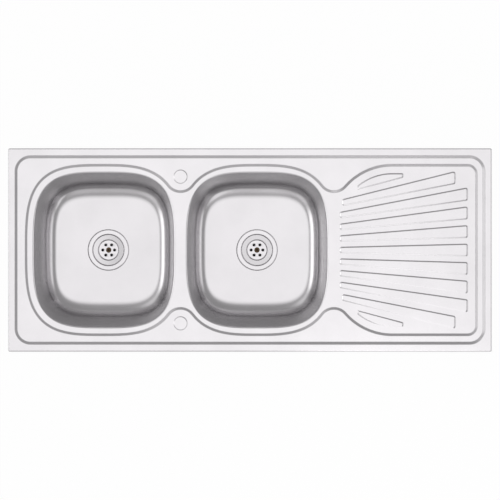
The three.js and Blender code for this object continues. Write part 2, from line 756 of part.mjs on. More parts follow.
// A moulded body: flange, cup, cone and threaded tail, with a spider across the cup.
function wasteBody() {
  const flangeOuter = wasteHoleRadius + lowerGasketWidth;
  const threads = Array.from({ length: Math.floor(tailLength / threadPitch) - 1 }, (_, i) => {
    const z = tailEndZ + threadPitch * (i + 0.5);
    return [
      [tailRadius - threadDepth, z],
      [tailRadius, z + threadPitch / 2],
    ];
  }).flat();
  const outside = [
    [tailRadius - threadDepth, tailEndZ],
    ...threads,
    [tailRadius - threadDepth, tailTopZ],
    [cupRadius + bodyWall, cupBottomZ],
    [cupRadius + bodyWall, bodyTopZ - bodyFlangeThickness],
    [flangeOuter, bodyTopZ - bodyFlangeThickness],
    [flangeOuter, bodyTopZ],
  ];
  const inside = [
    [cupRadius, bodyTopZ],
    [cupRadius, cupBottomZ],
    [tailBoreRadius, tailTopZ],
    [tailBoreRadius, tailEndZ],
  ];
  const shell = lathe([...outside, ...inside, outside[0]]);
  const screwHole = drill(screwRadius + boreClearance, bossBottomZ, spiderDepth);
  const pocketFlats = wasteNutFlats + 2 * boreClearance;
  const nutPocket = plate(hexagon(pocketFlats), bossBottomZ - through, wasteNutThickness + through);
  return cut(join(shell, ...spider()), screwHole, nutPocket);
}

// ---------------------------------------------------------------- sealing strips

const rimBack = rimHeight - sheet;
const sealHeight = rimBack - seat;

function sealStrip(lengthX, lengthY, x, y) {
  return new THREE.BoxGeometry(lengthX, lengthY, sealHeight).translate(x, y, sealHeight / 2);
}

const sealLineX = sinkLength / 2 - sealInset - sealWidth / 2;
const sealLineY = sinkWidth / 2 - sealInset - sealWidth / 2;
const longSealLength = 2 * sealLineX + sealWidth;
const shortSealLength = 2 * sealLineY - sealWidth - 2 * seat;

// ---------------------------------------------------------------- fixing clips: stud on Z, rim at +Y

const bracketTopZ = deckLevel - sheet - seat;
const bracketWebZ = bracketTopZ - bracketDrop; // underside of the bracket's web
const studTopZ = bracketWebZ + bracketSheet + seat; // underside of the stud's head
const studEndZ = studTopZ - studLength;
const clawTopZ = -clawDrop - clawTipHeight; // top of the claw's flat arm when lowered
const wingNutTopZ = clawTopZ - clawSheet - seat;

// A hat section: two feet under the deck, and a web below them that the stud hangs from.
function clipBracket() {
  const halfSpan = bracketSpan / 2;
  const rightSide = [
    [halfSpan, -bracketDrop],
    [halfSpan, -bracketSheet],
    [halfSpan + bracketFoot, -bracketSheet],
    [halfSpan + bracketFoot, 0],
    [halfSpan - bracketSheet, 0],
    [halfSpan - bracketSheet, bracketSheet - bracketDrop],
  ];
  const leftSide = rightSide.map(([x, z]) => [-x, z]).reverse();
  const outline = [...rightSide, ...leftSide].map(([x, z]) => new THREE.Vector2(x, z + bracketTopZ));
  const hole = drill(studRadius + boreClearance, bracketWebZ, bracketSheet);
  return cut(uprightPlate(outline, bracketWidth), hole);
}

function clipStud() {
  return lathe(
    [
      [0, studEndZ],
      [studRadius - studPoint, studEndZ],
      [studRadius, studEndZ + studPoint],
      [studRadius, studTopZ],
      [studHeadRadius, studTopZ],
      [studHeadRadius, studTopZ + studHeadThickness],
      [0, studTopZ + studHeadThickness],
    ],
    smallRoundSteps,
  );
}

// A stamped arm with its end bent up and toothed. It is made parked, along the sink's edge.
function clipClaw() {
  const heel = clawWidth / 2;
  const armBottom = clawTopZ - clawSheet;
  const side = [
    [-heel, armBottom],
    [clawReach - clawSheet, armBottom],
    [clawReach, armBottom + clawSheet],
    [clawReach, -clawDrop],
    [clawReach - clawSheet, -clawDrop],
    [clawReach - clawSheet, clawTopZ],
    [-heel, clawTopZ],
  ].map(([x, z]) => new THREE.Vector2(x, z));
  const planEnd = clawReach + through;
  const plan = [new THREE.Vector2(planEnd, -heel), new THREE.Vector2(planEnd, heel)];
  plan.push(...arcPoints(0, 0, heel, 90, 270, smallRoundSteps));
  const planHeight = clawTipHeight + clawSheet + 2 * through;
  const blank = common(uprightPlate(side, 2 * clawWidth), plate(plan, armBottom - through, planHeight));
  const toothPitch = clawWidth / clawTeeth;
  const gaps = Array.from({ length: clawTeeth - 1 }, (_, i) => {
    const y = (i + 1) * toothPitch - heel;
    const outline = [
      new THREE.Vector2(y - toothPitch / 4, -clawDrop + through),
      new THREE.Vector2(y, -clawDrop - clawToothDepth),
      new THREE.Vector2(y + toothPitch / 4, -clawDrop + through),
    ];
    return uprightPlate(outline, 4 * clawSheet).rotateZ(Math.PI / 2).translate(clawReach, 0, 0);
  });
  return cut(blank, drill(studRadius + boreClearance, armBottom, clawSheet), ...gaps);
}

function wingNut() {
  const bottom = wingNutTopZ - wingNutHeight;
  const hub = bolt(wingNutHubRadius, bottom, wingNutHeight);
  const rootX = wingNutHubRadius - wingRoot;
  const tipX = wingSpan / 2;
  const tipZ = bottom - wingDrop;
  const wingOutline = [
    [rootX, bottom + wingEdge],
    [tipX - wingTipWidth, tipZ + wingTipWidth / 2],
    [tipX, tipZ + wingTipWidth],
    [tipX - wingEdge, bottom + wingTipWidth],
    [rootX, wingNutTopZ - wingEdge],
  ].map(([x, z]) => new THREE.Vector2(x, z));
  const wing = uprightPlate(wingOutline, wingThickness);
  const bore = drill(studRadius + boreClearance, bottom, wingNutHeight);
  return cut(join(hub, wing, wing.clone().rotateZ(Math.PI)), bore);
}

// The middle of the flat deck strip, under which each bracket is welded, on each side of the sink.
const deckEdgeX = sinkLength / 2 - rimBandX - rimSlopeWidth;
const deckEdgeY = sinkWidth / 2 - rimBandY - rimSlopeWidth;
const clipLineY = (deckEdgeY + wetHalfY + wetSlopeWidth / 2) / 2;
const clipLeftX = -(deckEdgeX + wetHalfX - leftBowlX + wetSlopeWidth / 2) / 2;
const clipRightX = (deckEdgeX + drainerEndX + wetSlopeWidth / 2) / 2;

// Where each clip stands, and its turn about the upright so that its rim side faces outwards.
function clipPlaces() {
  const farthest = sinkLength / 2 - clipEndInset;
  const shares = Array.from({ length: clipsEachSide }, (_, i) => i / (clipsEachSide - 1));
  const along = shares.map((share) => lerp(-farthest, farthest, share));
  return [
    ...along.map((x) => ({ x, y: clipLineY, turn: 0 })),
    { x: clipRightX, y: 0, turn: 270 },
    ...along.map((x) => ({ x: -x, y: -clipLineY, turn: 180 })),
    { x: clipLeftX, y: 0, turn: 90 },
  ];
}

// ---------------------------------------------------------------- assembly

const sink = new THREE.Group();

function place(name, geometry, finish, parent = sink) {
  const mesh = new THREE.Mesh(geometry, new THREE.MeshStandardMaterial(finish));
  mesh.name = name;
  parent.add(mesh);
}

place("deck_panel", panel(), steel);

const bowlGeometry = bowl();
const padGeometry = soundPad();
const upperGasket = gasket(upperGasketWidth, upperGasketZ + upperGasketThickness, upperGasketThickness);
const lowerGasket = gasket(lowerGasketWidth, lowerGasketTopZ, lowerGasketThickness);
const wasteParts = {
  flange: [wasteFlange(), polishedSteel],
  upper_gasket: [upperGasket, blackRubber],
  lower_gasket: [lowerGasket, blackRubber],
  body: [wasteBody(), blackPlastic],
  screw: [wasteScrew(), brass],
  nut: [wasteNut(), brass],
};
for (const [side, x] of [["left", leftBowlX], ["right", rightBowlX]]) {
  const group = new THREE.Group();
  group.position.x = x;
  sink.add(group);
  place(`${side}_bowl`, bowlGeometry, steel, group);
  place(`${side}_sound_pad`, padGeometry, bitumen, group);
  for (const [part, [geometry, finish]] of Object.entries(wasteParts)) {
    place(`${side}_waste_${part}`, geometry, finish, group);
  }
}

place("front_seal", sealStrip(longSealLength, sealWidth, 0, -sealLineY), greyFoam);
place("back_seal", sealStrip(longSealLength, sealWidth, 0, sealLineY), greyFoam);
place("left_seal", sealStrip(sealWidth, shortSealLength, -sealLineX, 0), greyFoam);
place("right_seal", sealStrip(sealWidth, shortSealLength, sealLineX, 0), greyFoam);

const clipParts = {
  bracket: [clipBracket(), steel],
  stud: [clipStud(), zincedSteel],
  claw: [clipClaw(), zincedSteel],
  wing_nut: [wingNut(), zincedSteel],
};
clipPlaces().forEach(({ x, y, turn }, i) => {
  const group = new THREE.Group();
  group.position.set(x, y, 0);
  group.rotation.z = radians(turn);
  sink.add(group);
  for (const [part, [geometry, finish]] of Object.entries(clipParts)) {
    place(`clip_${i + 1}_${part}`, geometry, finish, group);
  }
});

export default sink;
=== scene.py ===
"""Finish, light and camera for an inset double bowl kitchen sink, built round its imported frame.

Shapes are worked out in millimetres and turned into metres where a mesh is made. X runs from the left bowl
to the drainer, Y to the back and Z up, and Z is 0 on the worktop surface that the rim stands on.
"""

from math import acos, asin, atan, atan2, ceil, cos, degrees, hypot, pi, radians, sin, sqrt, tan

import bmesh
import bpy
import numpy as np
from mathutils.geometry import tessellate_polygon
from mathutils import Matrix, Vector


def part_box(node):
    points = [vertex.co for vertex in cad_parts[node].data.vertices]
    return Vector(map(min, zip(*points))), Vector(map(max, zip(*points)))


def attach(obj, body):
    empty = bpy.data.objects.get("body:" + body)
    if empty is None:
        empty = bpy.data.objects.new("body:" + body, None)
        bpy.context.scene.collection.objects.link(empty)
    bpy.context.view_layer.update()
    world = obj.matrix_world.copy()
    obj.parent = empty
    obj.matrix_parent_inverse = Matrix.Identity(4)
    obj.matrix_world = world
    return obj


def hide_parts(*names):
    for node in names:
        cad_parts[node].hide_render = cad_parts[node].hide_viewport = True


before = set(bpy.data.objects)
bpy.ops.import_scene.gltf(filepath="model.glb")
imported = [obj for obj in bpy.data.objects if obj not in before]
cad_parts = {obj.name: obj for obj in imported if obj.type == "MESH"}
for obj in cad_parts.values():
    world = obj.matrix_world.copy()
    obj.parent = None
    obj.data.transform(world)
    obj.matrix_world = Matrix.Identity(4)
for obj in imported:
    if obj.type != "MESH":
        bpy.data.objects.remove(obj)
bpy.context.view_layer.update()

MM = 0.001


def node_box(node):
    """The lowest and highest corners of a node of the frame, in millimetres."""
    low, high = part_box(node)
    return np.array(low) / MM, np.array(high) / MM


# ------------------------------------------------------------------ sizes

_, PANEL_HIGH = node_box("deck_panel")
BOWL_X = {side: float(np.mean([box[0] for box in node_box(f"{side}_bowl")])) for side in ("left", "right")}
BOWL_PITCH = BOWL_X["right"] - BOWL_X["left"]
_, FLANGE_HIGH = node_box("left_waste_flange")
BODY_LOW, BODY_HIGH = node_box("left_waste_body")

SHEET = 0.8
SEAT = 0.3  # gap between pieces that touch
HALF_LENGTH = PANEL_HIGH[0]
HALF_WIDTH = PANEL_HIGH[1]
RIM_TOP = PANEL_HIGH[2]
EDGE_CORNER = 4.0
EDGE_ROLL = 3.0
RIM_BAND = (15.4, 17.1)  # flat at the ends, and at front and back
RIM_SLOPE = 8.5  # plan width of the slope from the rim to the deck
RIM_SLOPE_CORNER = 36.0
DECK = RIM_TOP - 2.6
WET = DECK - 2.2
WET_SLOPE = 7.8

MOUTH_HALF = (178.0, 195.5)
MOUTH_EXPONENT = 3.4
MOUTH_ROLL = 5.0
COLLAR = 4.0  # straight edge below the roll, that the bowl is welded to
WALL_DRAFT = 9.5

LANDING = 14.9  # flat from a bowl's opening to the middle of the contour's slope
LOBE_EXPONENT = 3.05
END_LOBE_EXPONENT = 3.35
NOSE_RADIUS = 38.0  # of the raised deck that reaches in beside the bowls
SHOULDER_RADIUS = 155.0  # of the sweep from the right nose to the drainer's straight edge
DRAINER_END = 562.0
DRAINER_CORNER = 22.0

FAN_X = -297.8  # where the rays meet that the ribs lie on
FAN_PITCH = 3.14  # degrees from ray to ray
RIBS_EACH_SIDE = 4
RIB_RISE = 1.4
RIB_SLOPE = 3.4
RIB_START, RIB_END = 224.0, 539.0
OUTER_RIB_START, OUTER_RIB_END = 230.0, 508.5
RIB_START_WIDTH, RIB_END_WIDTH = 12.9, 28.8
RIB_CORNER = 4.0
SHORT_RIB_START, SHORT_RIB_END = 268.3, 379.0
SHORT_RIB_INSET = 21.2
SHORT_RIB_ANGLE = 14.94
SHORT_RIB_CORNER = 2.5

TAP_Y = 182.0
TAP_RADIUS = 17.5
TAP_RISE = 1.0
TAP_EDGE = 2.0

FLOOR_Z = -146.0
FLOOR_HALF = (128.5, 127.5)
FLOOR_EXPONENT = 4.1
FILLET_HEIGHT = 25.0
WALL_SHARE = 0.34  # share of the wall's whole inset that its straight part takes
FLOOR_FALL = 2.0
RECESS_RADIUS = 53.0
RECESS_SEAT_RADIUS = 52.0
RECESS_DEPTH = 2.5
WASTE_HOLE_RADIUS = 45.0

FLANGE_RADIUS = 51.5
FLANGE_SHEET = 1.0
FLANGE_BEVEL, FLANGE_BEVEL_DROP, FLANGE_BEVEL_BEND = 1.0, 0.6, 0.8
FLANGE_BEND = 1.2
DISH_RADIUS, DISH_DEPTH, DISH_FALL = 40.0, 4.0, 1.0
STRAINER_RADIUS, STRAINER_DEPTH = 26.0, 4.0
HALF_STEP = 1.0  # half the plan width of a step in the pressing
STRAINER_HOLES = 6
STRAINER_HOLE_RADIUS = 3.7
STRAINER_PITCH_RADIUS = 15.0
STRAINER_LIP = ((0.2, 0), (0.06, 0.04), (0, 0.2))  # out from a hole's edge, and down
DIMPLE_RADIUS, DIMPLE_DEPTH = 7.0, 3.0
SCREW_RADIUS = 3.0
SCREW_PASSAGE = 3.7
SCREW_HEAD_RADIUS, SCREW_HEAD_DEPTH = 5.5, 2.5
SCREW_HEAD_EDGE, SCREW_HEAD_BEND = 0.5, 0.35
SCREW_TIP, SCREW_NECK = 0.6, 1.0
SCREW_SOCKET_FLATS, SCREW_SOCKET_DEPTH = 5.5, 2.0
WASTE_NUT_FLATS = 10.0
BODY_FLANGE_RADIUS, BODY_FLANGE_THICKNESS = 52.0, 4.0
BODY_WALL = 2.5
CUP_RADIUS, CUP_DEPTH, CONE_DEPTH = 43.5, 22.0, 14.0
TAIL_RADIUS, TAIL_BORE_RADIUS = 23.9, 19.5
TAIL_THREAD_PITCH, TAIL_THREAD_DEPTH = 3.2, 1.0
TAIL_LEAD, TAIL_NECK = 1.0, 2.0  # unthreaded lengths at the tail's end and under the cone
CUP_BEND, CONE_BEND, FLANGE_NECK_BEND, MOULDED_EDGE, TAIL_EDGE = 3.0, 1.5, 1.2, 0.8, 0.6
GASKET_EDGE = 0.35
SPIDER_ARMS, SPIDER_TURN, SPIDER_WIDTH, SPIDER_DEPTH = 3, 30.0, 3.0, 10.0  # they carry the screw's boss
BOSS_RADIUS, BOSS_OVERLAP = 7.5, 0.4
BORE_CLEARANCE = 0.3
PAD_SHARES = (0.12, 0.72)  # its outer and inner edge, from the floor's edge at 0 to the recess at 1
PAD_THICKNESS = 3.0

BRACKET_WIDTH, BRACKET_SHEET = 9.0, 1.5
BRACKET_FOOT, BRACKET_SPAN, BRACKET_DROP, BRACKET_BEND = 12.0, 24.0, 9.0, 1.6
STUD_RADIUS, STUD_HEAD_RADIUS, STUD_HEAD_THICKNESS = 3.0, 6.0, 2.5
STUD_HEAD_BENDS = (0.3, 0.9)
STUD_TIP, STUD_NECK = 0.8, 4.0
SCREW_THREAD_PITCH, SCREW_THREAD_DEPTH = 1.0, 0.45
CLAW_REACH, CLAW_WIDTH, CLAW_SHEET, CLAW_BEND = 34.0, 14.0, 3.0, 3.0
CLAW_TEETH, CLAW_TOOTH_DEPTH = 4, 2.0
WING_NUT_HEIGHT, WING_NUT_HUB_RADIUS, WING_NUT_HUB_TAPER = 8.0, 5.5, 0.4
WING_NUT_HUB_BENDS = (0.3, 0.9, 0.9, 0.3)
WING_SPAN, WING_THICKNESS = 26.0, 2.0
WING_ROOT, WING_EDGE, WING_DROP, WING_TIP_WIDTH = 2.0, 1.0, 5.0, 3.0
WING_BENDS = (0, 1.2, 1.0, 2.5, 0)

MOUTH_STEPS = 320
FLANGE_STEPS = 144
ROUND_STEPS = 96
SMALL_ROUND_STEPS = 48
BORE_STEPS = 36
HOLE_STEPS = 32
THREAD_STEPS = 32
CROWDING = 0.22  # how far a superellipse's points are drawn together where it is flattest


# ------------------------------------------------------------------ outlines, all anticlockwise

def arc(centre_x, centre_y, radius, start, end, spacing=2.0):
    """Points on an arc between two directions in degrees."""
    steps = max(2, ceil(abs(radians(end - start)) * radius / spacing))
    angles = np.radians(np.linspace(start, end, steps + 1))
    return np.column_stack([centre_x + radius * np.cos(angles), centre_y + radius * np.sin(angles)])


def circle(radius, steps=ROUND_STEPS, centre=(0.0, 0.0)):
    angles = np.linspace(0, 2 * pi, steps, endpoint=False)
    return np.column_stack([centre[0] + radius * np.cos(angles), centre[1] + radius * np.sin(angles)])


def rounded_rectangle(half_x, half_y, radius, spacing=2.0):
    x, y = half_x - radius, half_y - radius
    return np.vstack([
        arc(x, y, radius, 0, 90, spacing),
        arc(-x, y, radius, 90, 180, spacing),
        arc(-x, -y, radius, 180, 270, spacing),
        arc(x, -y, radius, 270, 360, spacing),
    ])


def superellipse_points(half, exponent, angles, centre_x=0.0):
    across, along = np.cos(angles), np.sin(angles)
    power = 2 / exponent
    return np.column_stack([
        centre_x + half[0] * np.sign(across) * np.abs(across) ** power,
        half[1] * np.sign(along) * np.abs(along) ** power,
    ])


def superellipse(half, exponent, steps, centre_x=0.0):
    """A superellipse with its points drawn together at its four flattest places."""
    even = np.linspace(0, 2 * pi, steps, endpoint=False)
    return superellipse_points(half, exponent, even - CROWDING * np.sin(4 * even), centre_x)


def unit(vectors):
    return vectors / np.linalg.norm(vectors, axis=1, keepdims=True)


def offset(loop, distance):
    """An outline moved outwards by a distance, or inwards where it is negative."""
    before = unit(loop - np.roll(loop, 1, axis=0))
    after = unit(np.roll(loop, -1, axis=0) - loop)
    normal = unit(np.column_stack([before[:, 1] + after[:, 1], -before[:, 0] - after[:, 0]]))
    share = normal[:, 0] * before[:, 1] - normal[:, 1] * before[:, 0]
    return loop + normal * (distance / share)[:, None]


def round_corners(corners, radius, steps=8):
    """An outline of straight edges with its corners rounded, all by one radius or each by its own."""
    corners = np.array(corners, float)
    points = []
    for i, (corner, bend) in enumerate(zip(corners, np.broadcast_to(radius, len(corners)))):
        if bend == 0:
            points.append(corner)
            continue
        before = corners[i - 1] - corner
        after = corners[(i + 1) % len(corners)] - corner
        before /= np.linalg.norm(before)
        after /= np.linalg.norm(after)
        half_angle = acos(float(np.clip(before @ after, -1, 1))) / 2
        middle = before + after
        centre = corner + middle / np.linalg.norm(middle) * bend / sin(half_angle)
        spoke = corner + before * bend / tan(half_angle) - centre
        side = 1 if before[1] * after[0] > before[0] * after[1] else -1
        for turn in np.linspace(0, side * (pi - 2 * half_angle), steps + 1):
            points.append(centre + (spoke[0] * cos(turn) - spoke[1] * sin(turn),
                                    spoke[0] * sin(turn) + spoke[1] * cos(turn)))
    return np.array(points)


def round_bends(points, radius, steps=6):
    """An open run of straight edges with its bends rounded and its two ends left as they are."""
    return round_corners(points, [0, *np.broadcast_to(radius, len(points) - 2), 0], steps)


def hexagon(flats):
    return circle(flats / sqrt(3), 6)


# ------------------------------------------------------------------ meshes

class Surface:
    """Rings of points, joined by bands of faces and by flats with holes."""

    def __init__(self):
        self.points = []
        self.faces = []

    def ring(self, loop, z):
        start = len(self.points)
        self.points.extend((x, y, z) for x, y in loop)
        return np.arange(start, len(self.points))

    def band(self, outer, inner):
        self.faces += zip(outer, np.roll(outer, -1), np.roll(inner, -1), inner)

    def bands(self, rings):
        for outer, inner in zip(rings, rings[1:]):
            self.band(outer, inner)

    def flat(self, outer, holes=()):
        rings = [outer, *holes]
        indices = np.concatenate(rings)
        plan = [[(self.points[i][0], self.points[i][1]) for i in ring] for ring in rings]
        for triangle in tessellate_polygon([[(x, y, 0.0) for x, y in loop] for loop in plan]):
            a, b, c = (indices[i] for i in triangle)
            (ax, ay, _), (bx, by, _), (cx, cy, _) = (self.points[i] for i in (a, b, c))
            area = (bx - ax) * (cy - ay) - (cx - ax) * (by - ay)
            self.faces.append((a, b, c) if area > 0 else (a, c, b))

    def rounds(self, profile, steps):
        """Rings round the upright axis, one at each radius and height, with bands between them."""
        rings = [self.ring(circle(radius, steps), z) for radius, z in profile]
        self.bands(rings)
        return rings

    def turned(self, profile, steps):
        """Bands round the upright axis through a closed profile of radius and height."""
        rings = self.rounds(profile, steps)
        self.band(rings[-1], rings[0])

    def thread(self, radius, depth, pitch, low, high, steps=THREAD_STEPS, rows=6):
        """Bands up a helical thread that runs out at both ends."""
        angles = np.linspace(0, 2 * pi, steps, endpoint=False)
        rings = []
        for z in np.linspace(low, high, ceil((high - low) / pitch * rows) + 1):
            crest = 1 - np.abs(2 * ((z / pitch - angles / (2 * pi)) % 1) - 1)
            run_out = min(1.0, (z - low) / pitch, (high - z) / pitch)
            reach = radius - depth * (1 - crest * run_out)
            rings.append(self.ring(np.column_stack([reach * np.cos(angles), reach * np.sin(angles)]), z))
        self.bands(rings)
        return rings[0], rings[-1]

    def solid(self, outline, low, high, holes=()):
        """A closed upright solid with holes right through it."""
        lower = [self.ring(loop, low) for loop in (outline, *holes)]
        upper = [self.ring(loop, high) for loop in (outline, *holes)]
        self.flat(lower[0], lower[1:])
        self.flat(upper[0], upper[1:])
        for bottom, top in zip(lower, upper):
            self.band(bottom, top)

    def strip(self, profile, half_width):
        """A strip of sheet across Y, along a run of points in X and Z."""
        start = len(self.points)
        for x, z in profile:
            self.points += [(x, -half_width, z), (x, half_width, z)]
        self.faces += [(i, i + 1, i + 3, i + 2) for i in range(start, len(self.points) - 2, 2)]

    def patch(self, corners):
        start = len(self.points)
        self.points += [tuple(corner) for corner in corners]
        self.faces.append(tuple(range(start, len(self.points))))

    def piece(self, name, place=(0.0, 0.0, 0.0)):
        mesh = bpy.data.meshes.new(name)
        points = np.array(self.points) * MM
        mesh.from_pydata(points.tolist(), [], [tuple(int(i) for i in face) for face in self.faces])
        mesh.validate()
        piece = link(name, mesh)
        piece.location = [along * MM for along in place]
        return piece


def link(name, mesh):
    piece = bpy.data.objects.new(name, mesh)
    bpy.context.scene.collection.objects.link(piece)
    mesh.polygons.foreach_set("use_smooth", [True] * len(mesh.polygons))
    return piece


def settle(piece, sharp_degrees=35.0):
    """Applies a piece's modifiers, and keeps its edges sharp where they are steeper than an angle."""
    bpy.context.view_layer.update()
    evaluated = piece.evaluated_get(bpy.context.evaluated_depsgraph_get())
    settled = bpy.data.meshes.new_from_object(evaluated)
    piece.modifiers.clear()
    piece.data = settled
    settled.polygons.foreach_set("use_smooth", [True] * len(settled.polygons))
    settled.set_sharp_from_angle(angle=radians(sharp_degrees))
    return piece


def thicken(piece, thickness, side=-1):
    """Gives a surface its thickness, behind its faces for side -1 and half to each side for side 0."""
    solidify = piece.modifiers.new("sheet", "SOLIDIFY")
    solidify.thickness = thickness * MM
    solidify.offset = side
    solidify.use_even_offset = True
    return settle(piece)


def bevel(piece, width, segments=2, angle=30.0):
    modifier = piece.modifiers.new("edges", "BEVEL")
    modifier.width = width * MM
    modifier.segments = segments
    modifier.limit_method = "ANGLE"
    modifier.angle_limit = radians(angle)
    return piece


def weld(piece, distance=0.002):
    """Joins points that lie together, and turns all faces outwards."""
    mesh = bmesh.new()
    mesh.from_mesh(piece.data)
    bmesh.ops.remove_doubles(mesh, verts=mesh.verts, dist=distance * MM)
    bmesh.ops.dissolve_degenerate(mesh, edges=mesh.edges, dist=distance * MM / 10)
    bmesh.ops.recalc_face_normals(mesh, faces=mesh.faces)
    mesh.to_mesh(piece.data)
    mesh.free()
    return piece


def finish_piece(piece, material, slot, body, *nodes):
    """Gives a piece its material, the nodes that it replaces and the body that it rides on; its slot is not
    used.
    """
    piece.data.materials.clear()
    piece.data.materials.append(material)
    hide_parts(*nodes)
    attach(piece, body)


# ------------------------------------------------------------------ materials

class Nodes:
    """A material's node tree, with short calls to add and join nodes."""

    def __init__(self, name):
        self.material = bpy.data.materials.new(name)
        self.material.use_nodes = True
        self.tree = self.material.node_tree
        self.shader = self.tree.nodes["Principled BSDF"]

    def add(self, kind, **values):
        node = self.tree.nodes.new(kind)
        for socket, value in values.items():
            node.inputs[socket].default_value = value
        return node

    def join(self, source, output, target, socket):
        self.tree.links.new(source.outputs[output], target.inputs[socket])

    def set(self, **values):
        for socket, value in values.items():
            self.shader.inputs[socket.replace("_", " ")].default_value = value

    def noise(self, scale, stretch=(1.0, 1.0, 1.0), detail=3.0, roughness=0.55):
        """Noise in the object's own space, drawn out along its axes by stretch."""
        place = self.add("ShaderNodeTexCoord")
        mapping = self.add("ShaderNodeMapping")
        mapping.inputs["Scale"].default_value = stretch
        self.join(place, "Object", mapping, "Vector")
        noise = self.add("ShaderNodeTexNoise", Scale=scale, Detail=detail, Roughness=roughness)
        self.join(mapping, "Vector", noise, "Vector")
        return noise

    def ramp(self, source, low, high, start=0.35, end=0.65):
        """A value or colour that runs from low to high as the source runs from start to end."""
        ramp = self.add("ShaderNodeValToRGB")
        first, last = ramp.color_ramp.elements
        first.position, last.position = start, end
        first.color = low if isinstance(low, tuple) else (low, low, low, 1.0)
        last.color = high if isinstance(high, tuple) else (high, high, high, 1.0)
        self.join(source, "Fac", ramp, "Fac")
        return ramp

    def bump(self, source, output, distance, strength, below=None):
        """Bump on the shader's normal, laid over another bump where one is named."""
        bump = self.add("ShaderNodeBump", Strength=strength, Distance=distance * MM)
        self.join(source, output, bump, "Height")
        if below:
            self.join(below, "Normal", bump, "Normal")
        self.join(bump, "Normal", self.shader, "Normal")
        return bump


def shade(colour, factor):
    return tuple(min(1.0, c * factor) for c in colour) + (1.0,)


CLOUD_SCALE, BRUSH_SCALE, WAVE_SCALE = 9.0, 90.0, 14.0  # features of a noise in a metre
CLOUD_SHADES = (0.975, 1.02)
BRUSH_DEPTH = 0.0012
STEEL_BUMP, GRAIN_BUMP = 0.5, 0.6
GRAIN_SPREAD = 0.05
SOFT_RAMP = (0.3, 0.7)


def steel(name, colour, roughness, spread, brush, wave_depth):
    """Satin stainless steel: fine brushing, soft clouds and the faint waves of pressed sheet.

    The roughness varies by spread, and the brushing is drawn out by the three shares of brush.
    """
    nodes = Nodes(name)
    nodes.set(Metallic=1.0)
    clouds = nodes.noise(CLOUD_SCALE, detail=4.0)
    tint = nodes.ramp(clouds, *[shade(colour, factor) for factor in CLOUD_SHADES])
    nodes.join(tint, "Color", nodes.shader, "Base Color")
    brushing = nodes.noise(BRUSH_SCALE, brush, detail=4.0, roughness=0.7)
    satin = nodes.ramp(brushing, roughness - spread, roughness + spread, *SOFT_RAMP)
    nodes.join(satin, "Color", nodes.shader, "Roughness")
    waves = nodes.noise(WAVE_SCALE, detail=1.0)
    sheet_bump = nodes.bump(waves, "Fac", wave_depth, STEEL_BUMP)
    nodes.bump(brushing, "Fac", BRUSH_DEPTH, STEEL_BUMP, sheet_bump)
    return nodes.material


def speckled(name, colour, roughness, scale, depth, contrast, metallic=0.0):
    """Plastic, rubber, foam or plating, with a grain of its own scale, depth and contrast."""
    nodes = Nodes(name)
    nodes.set(Metallic=metallic)
    grain = nodes.noise(scale)
    tint = nodes.ramp(grain, shade(colour, 1 - contrast), shade(colour, 1 + contrast), *SOFT_RAMP)
    nodes.join(tint, "Color", nodes.shader, "Base Color")
    dull = nodes.ramp(grain, roughness - GRAIN_SPREAD, roughness + GRAIN_SPREAD, *SOFT_RAMP)
    nodes.join(dull, "Color", nodes.shader, "Roughness")
    nodes.bump(grain, "Fac", depth, GRAIN_BUMP)
    return nodes.material


# steels: colour, roughness, spread, brush and wave depth
# others: colour, roughness, the grain's scale, depth and contrast, and metallic
MATERIALS = {
    "panel": steel("panel_steel", (0.635, 0.625, 0.635), 0.26, 0.015, (1.0, 26.0, 26.0), 0.01),
    "bowl": steel("bowl_steel", (0.60, 0.59, 0.60), 0.26, 0.02, (8.0, 8.0, 3.0), 0.01),
    "flange": steel("flange_steel", (0.62, 0.61, 0.62), 0.26, 0.03, (6.0, 6.0, 6.0), 0.004),
    "zinc": speckled("zinc_plate", (0.60, 0.61, 0.63), 0.38, 260.0, 0.02, 0.08, 1.0),
    # Brown brass, darkened further as painted shade for the screw head that sits low in the strainer's
    # dimple.
    "brass": speckled("browned_brass_and_painted_shade", (0.10, 0.065, 0.035), 0.4, 300.0, 0.02, 0.1, 1.0),
    # The near-black colour of the screw's socket is painted shade, standing in for the shade inside that
    # recess.
    "socket": speckled("socket_painted_shade", (0.012, 0.01, 0.009), 0.7, 300.0, 0.02, 0.1),
    "plastic": speckled("moulded_plastic", (0.03, 0.03, 0.032), 0.45, 420.0, 0.02, 0.1),
    "rubber": speckled("black_rubber", (0.025, 0.025, 0.027), 0.72, 500.0, 0.03, 0.2),
    "foam": speckled("closed_cell_foam", (0.05, 0.05, 0.054), 0.9, 700.0, 0.15, 0.35),
    "pad": speckled("bitumen_sheet", (0.07, 0.07, 0.075), 0.82, 240.0, 0.12, 0.25),
}


# ------------------------------------------------------------------ contour of the lowered zone

WET_HALF = (MOUTH_HALF[0] + LANDING, MOUTH_HALF[1] + LANDING)


def lobe(start, end, centre_x, exponent=LOBE_EXPONENT, steps=60):
    return superellipse_points(WET_HALF, exponent, np.linspace(start, end, steps + 1), centre_x)


def nose_beside_bowl():
    """How far back a nose's middle lies, and the angle where its arc touches the contour round the bowl.

    The range that holds the middle is halved until the contour lies one nose radius away from it.
    """
    angle_steps, halvings = 3600, 40
    angles = np.radians(np.linspace(0, 90, angle_steps + 1))
    contour = superellipse_points(WET_HALF, LOBE_EXPONENT, angles)
    low, high = WET_HALF[1] / 2, 2 * WET_HALF[1]
    for _ in range(halvings):
        middle = (low + high) / 2
        distances = np.hypot(contour[:, 0] - BOWL_PITCH / 2, contour[:, 1] - middle)
        if distances.min() < NOSE_RADIUS:
            low = middle
        else:
            high = middle
    return middle, float(angles[distances.argmin()])


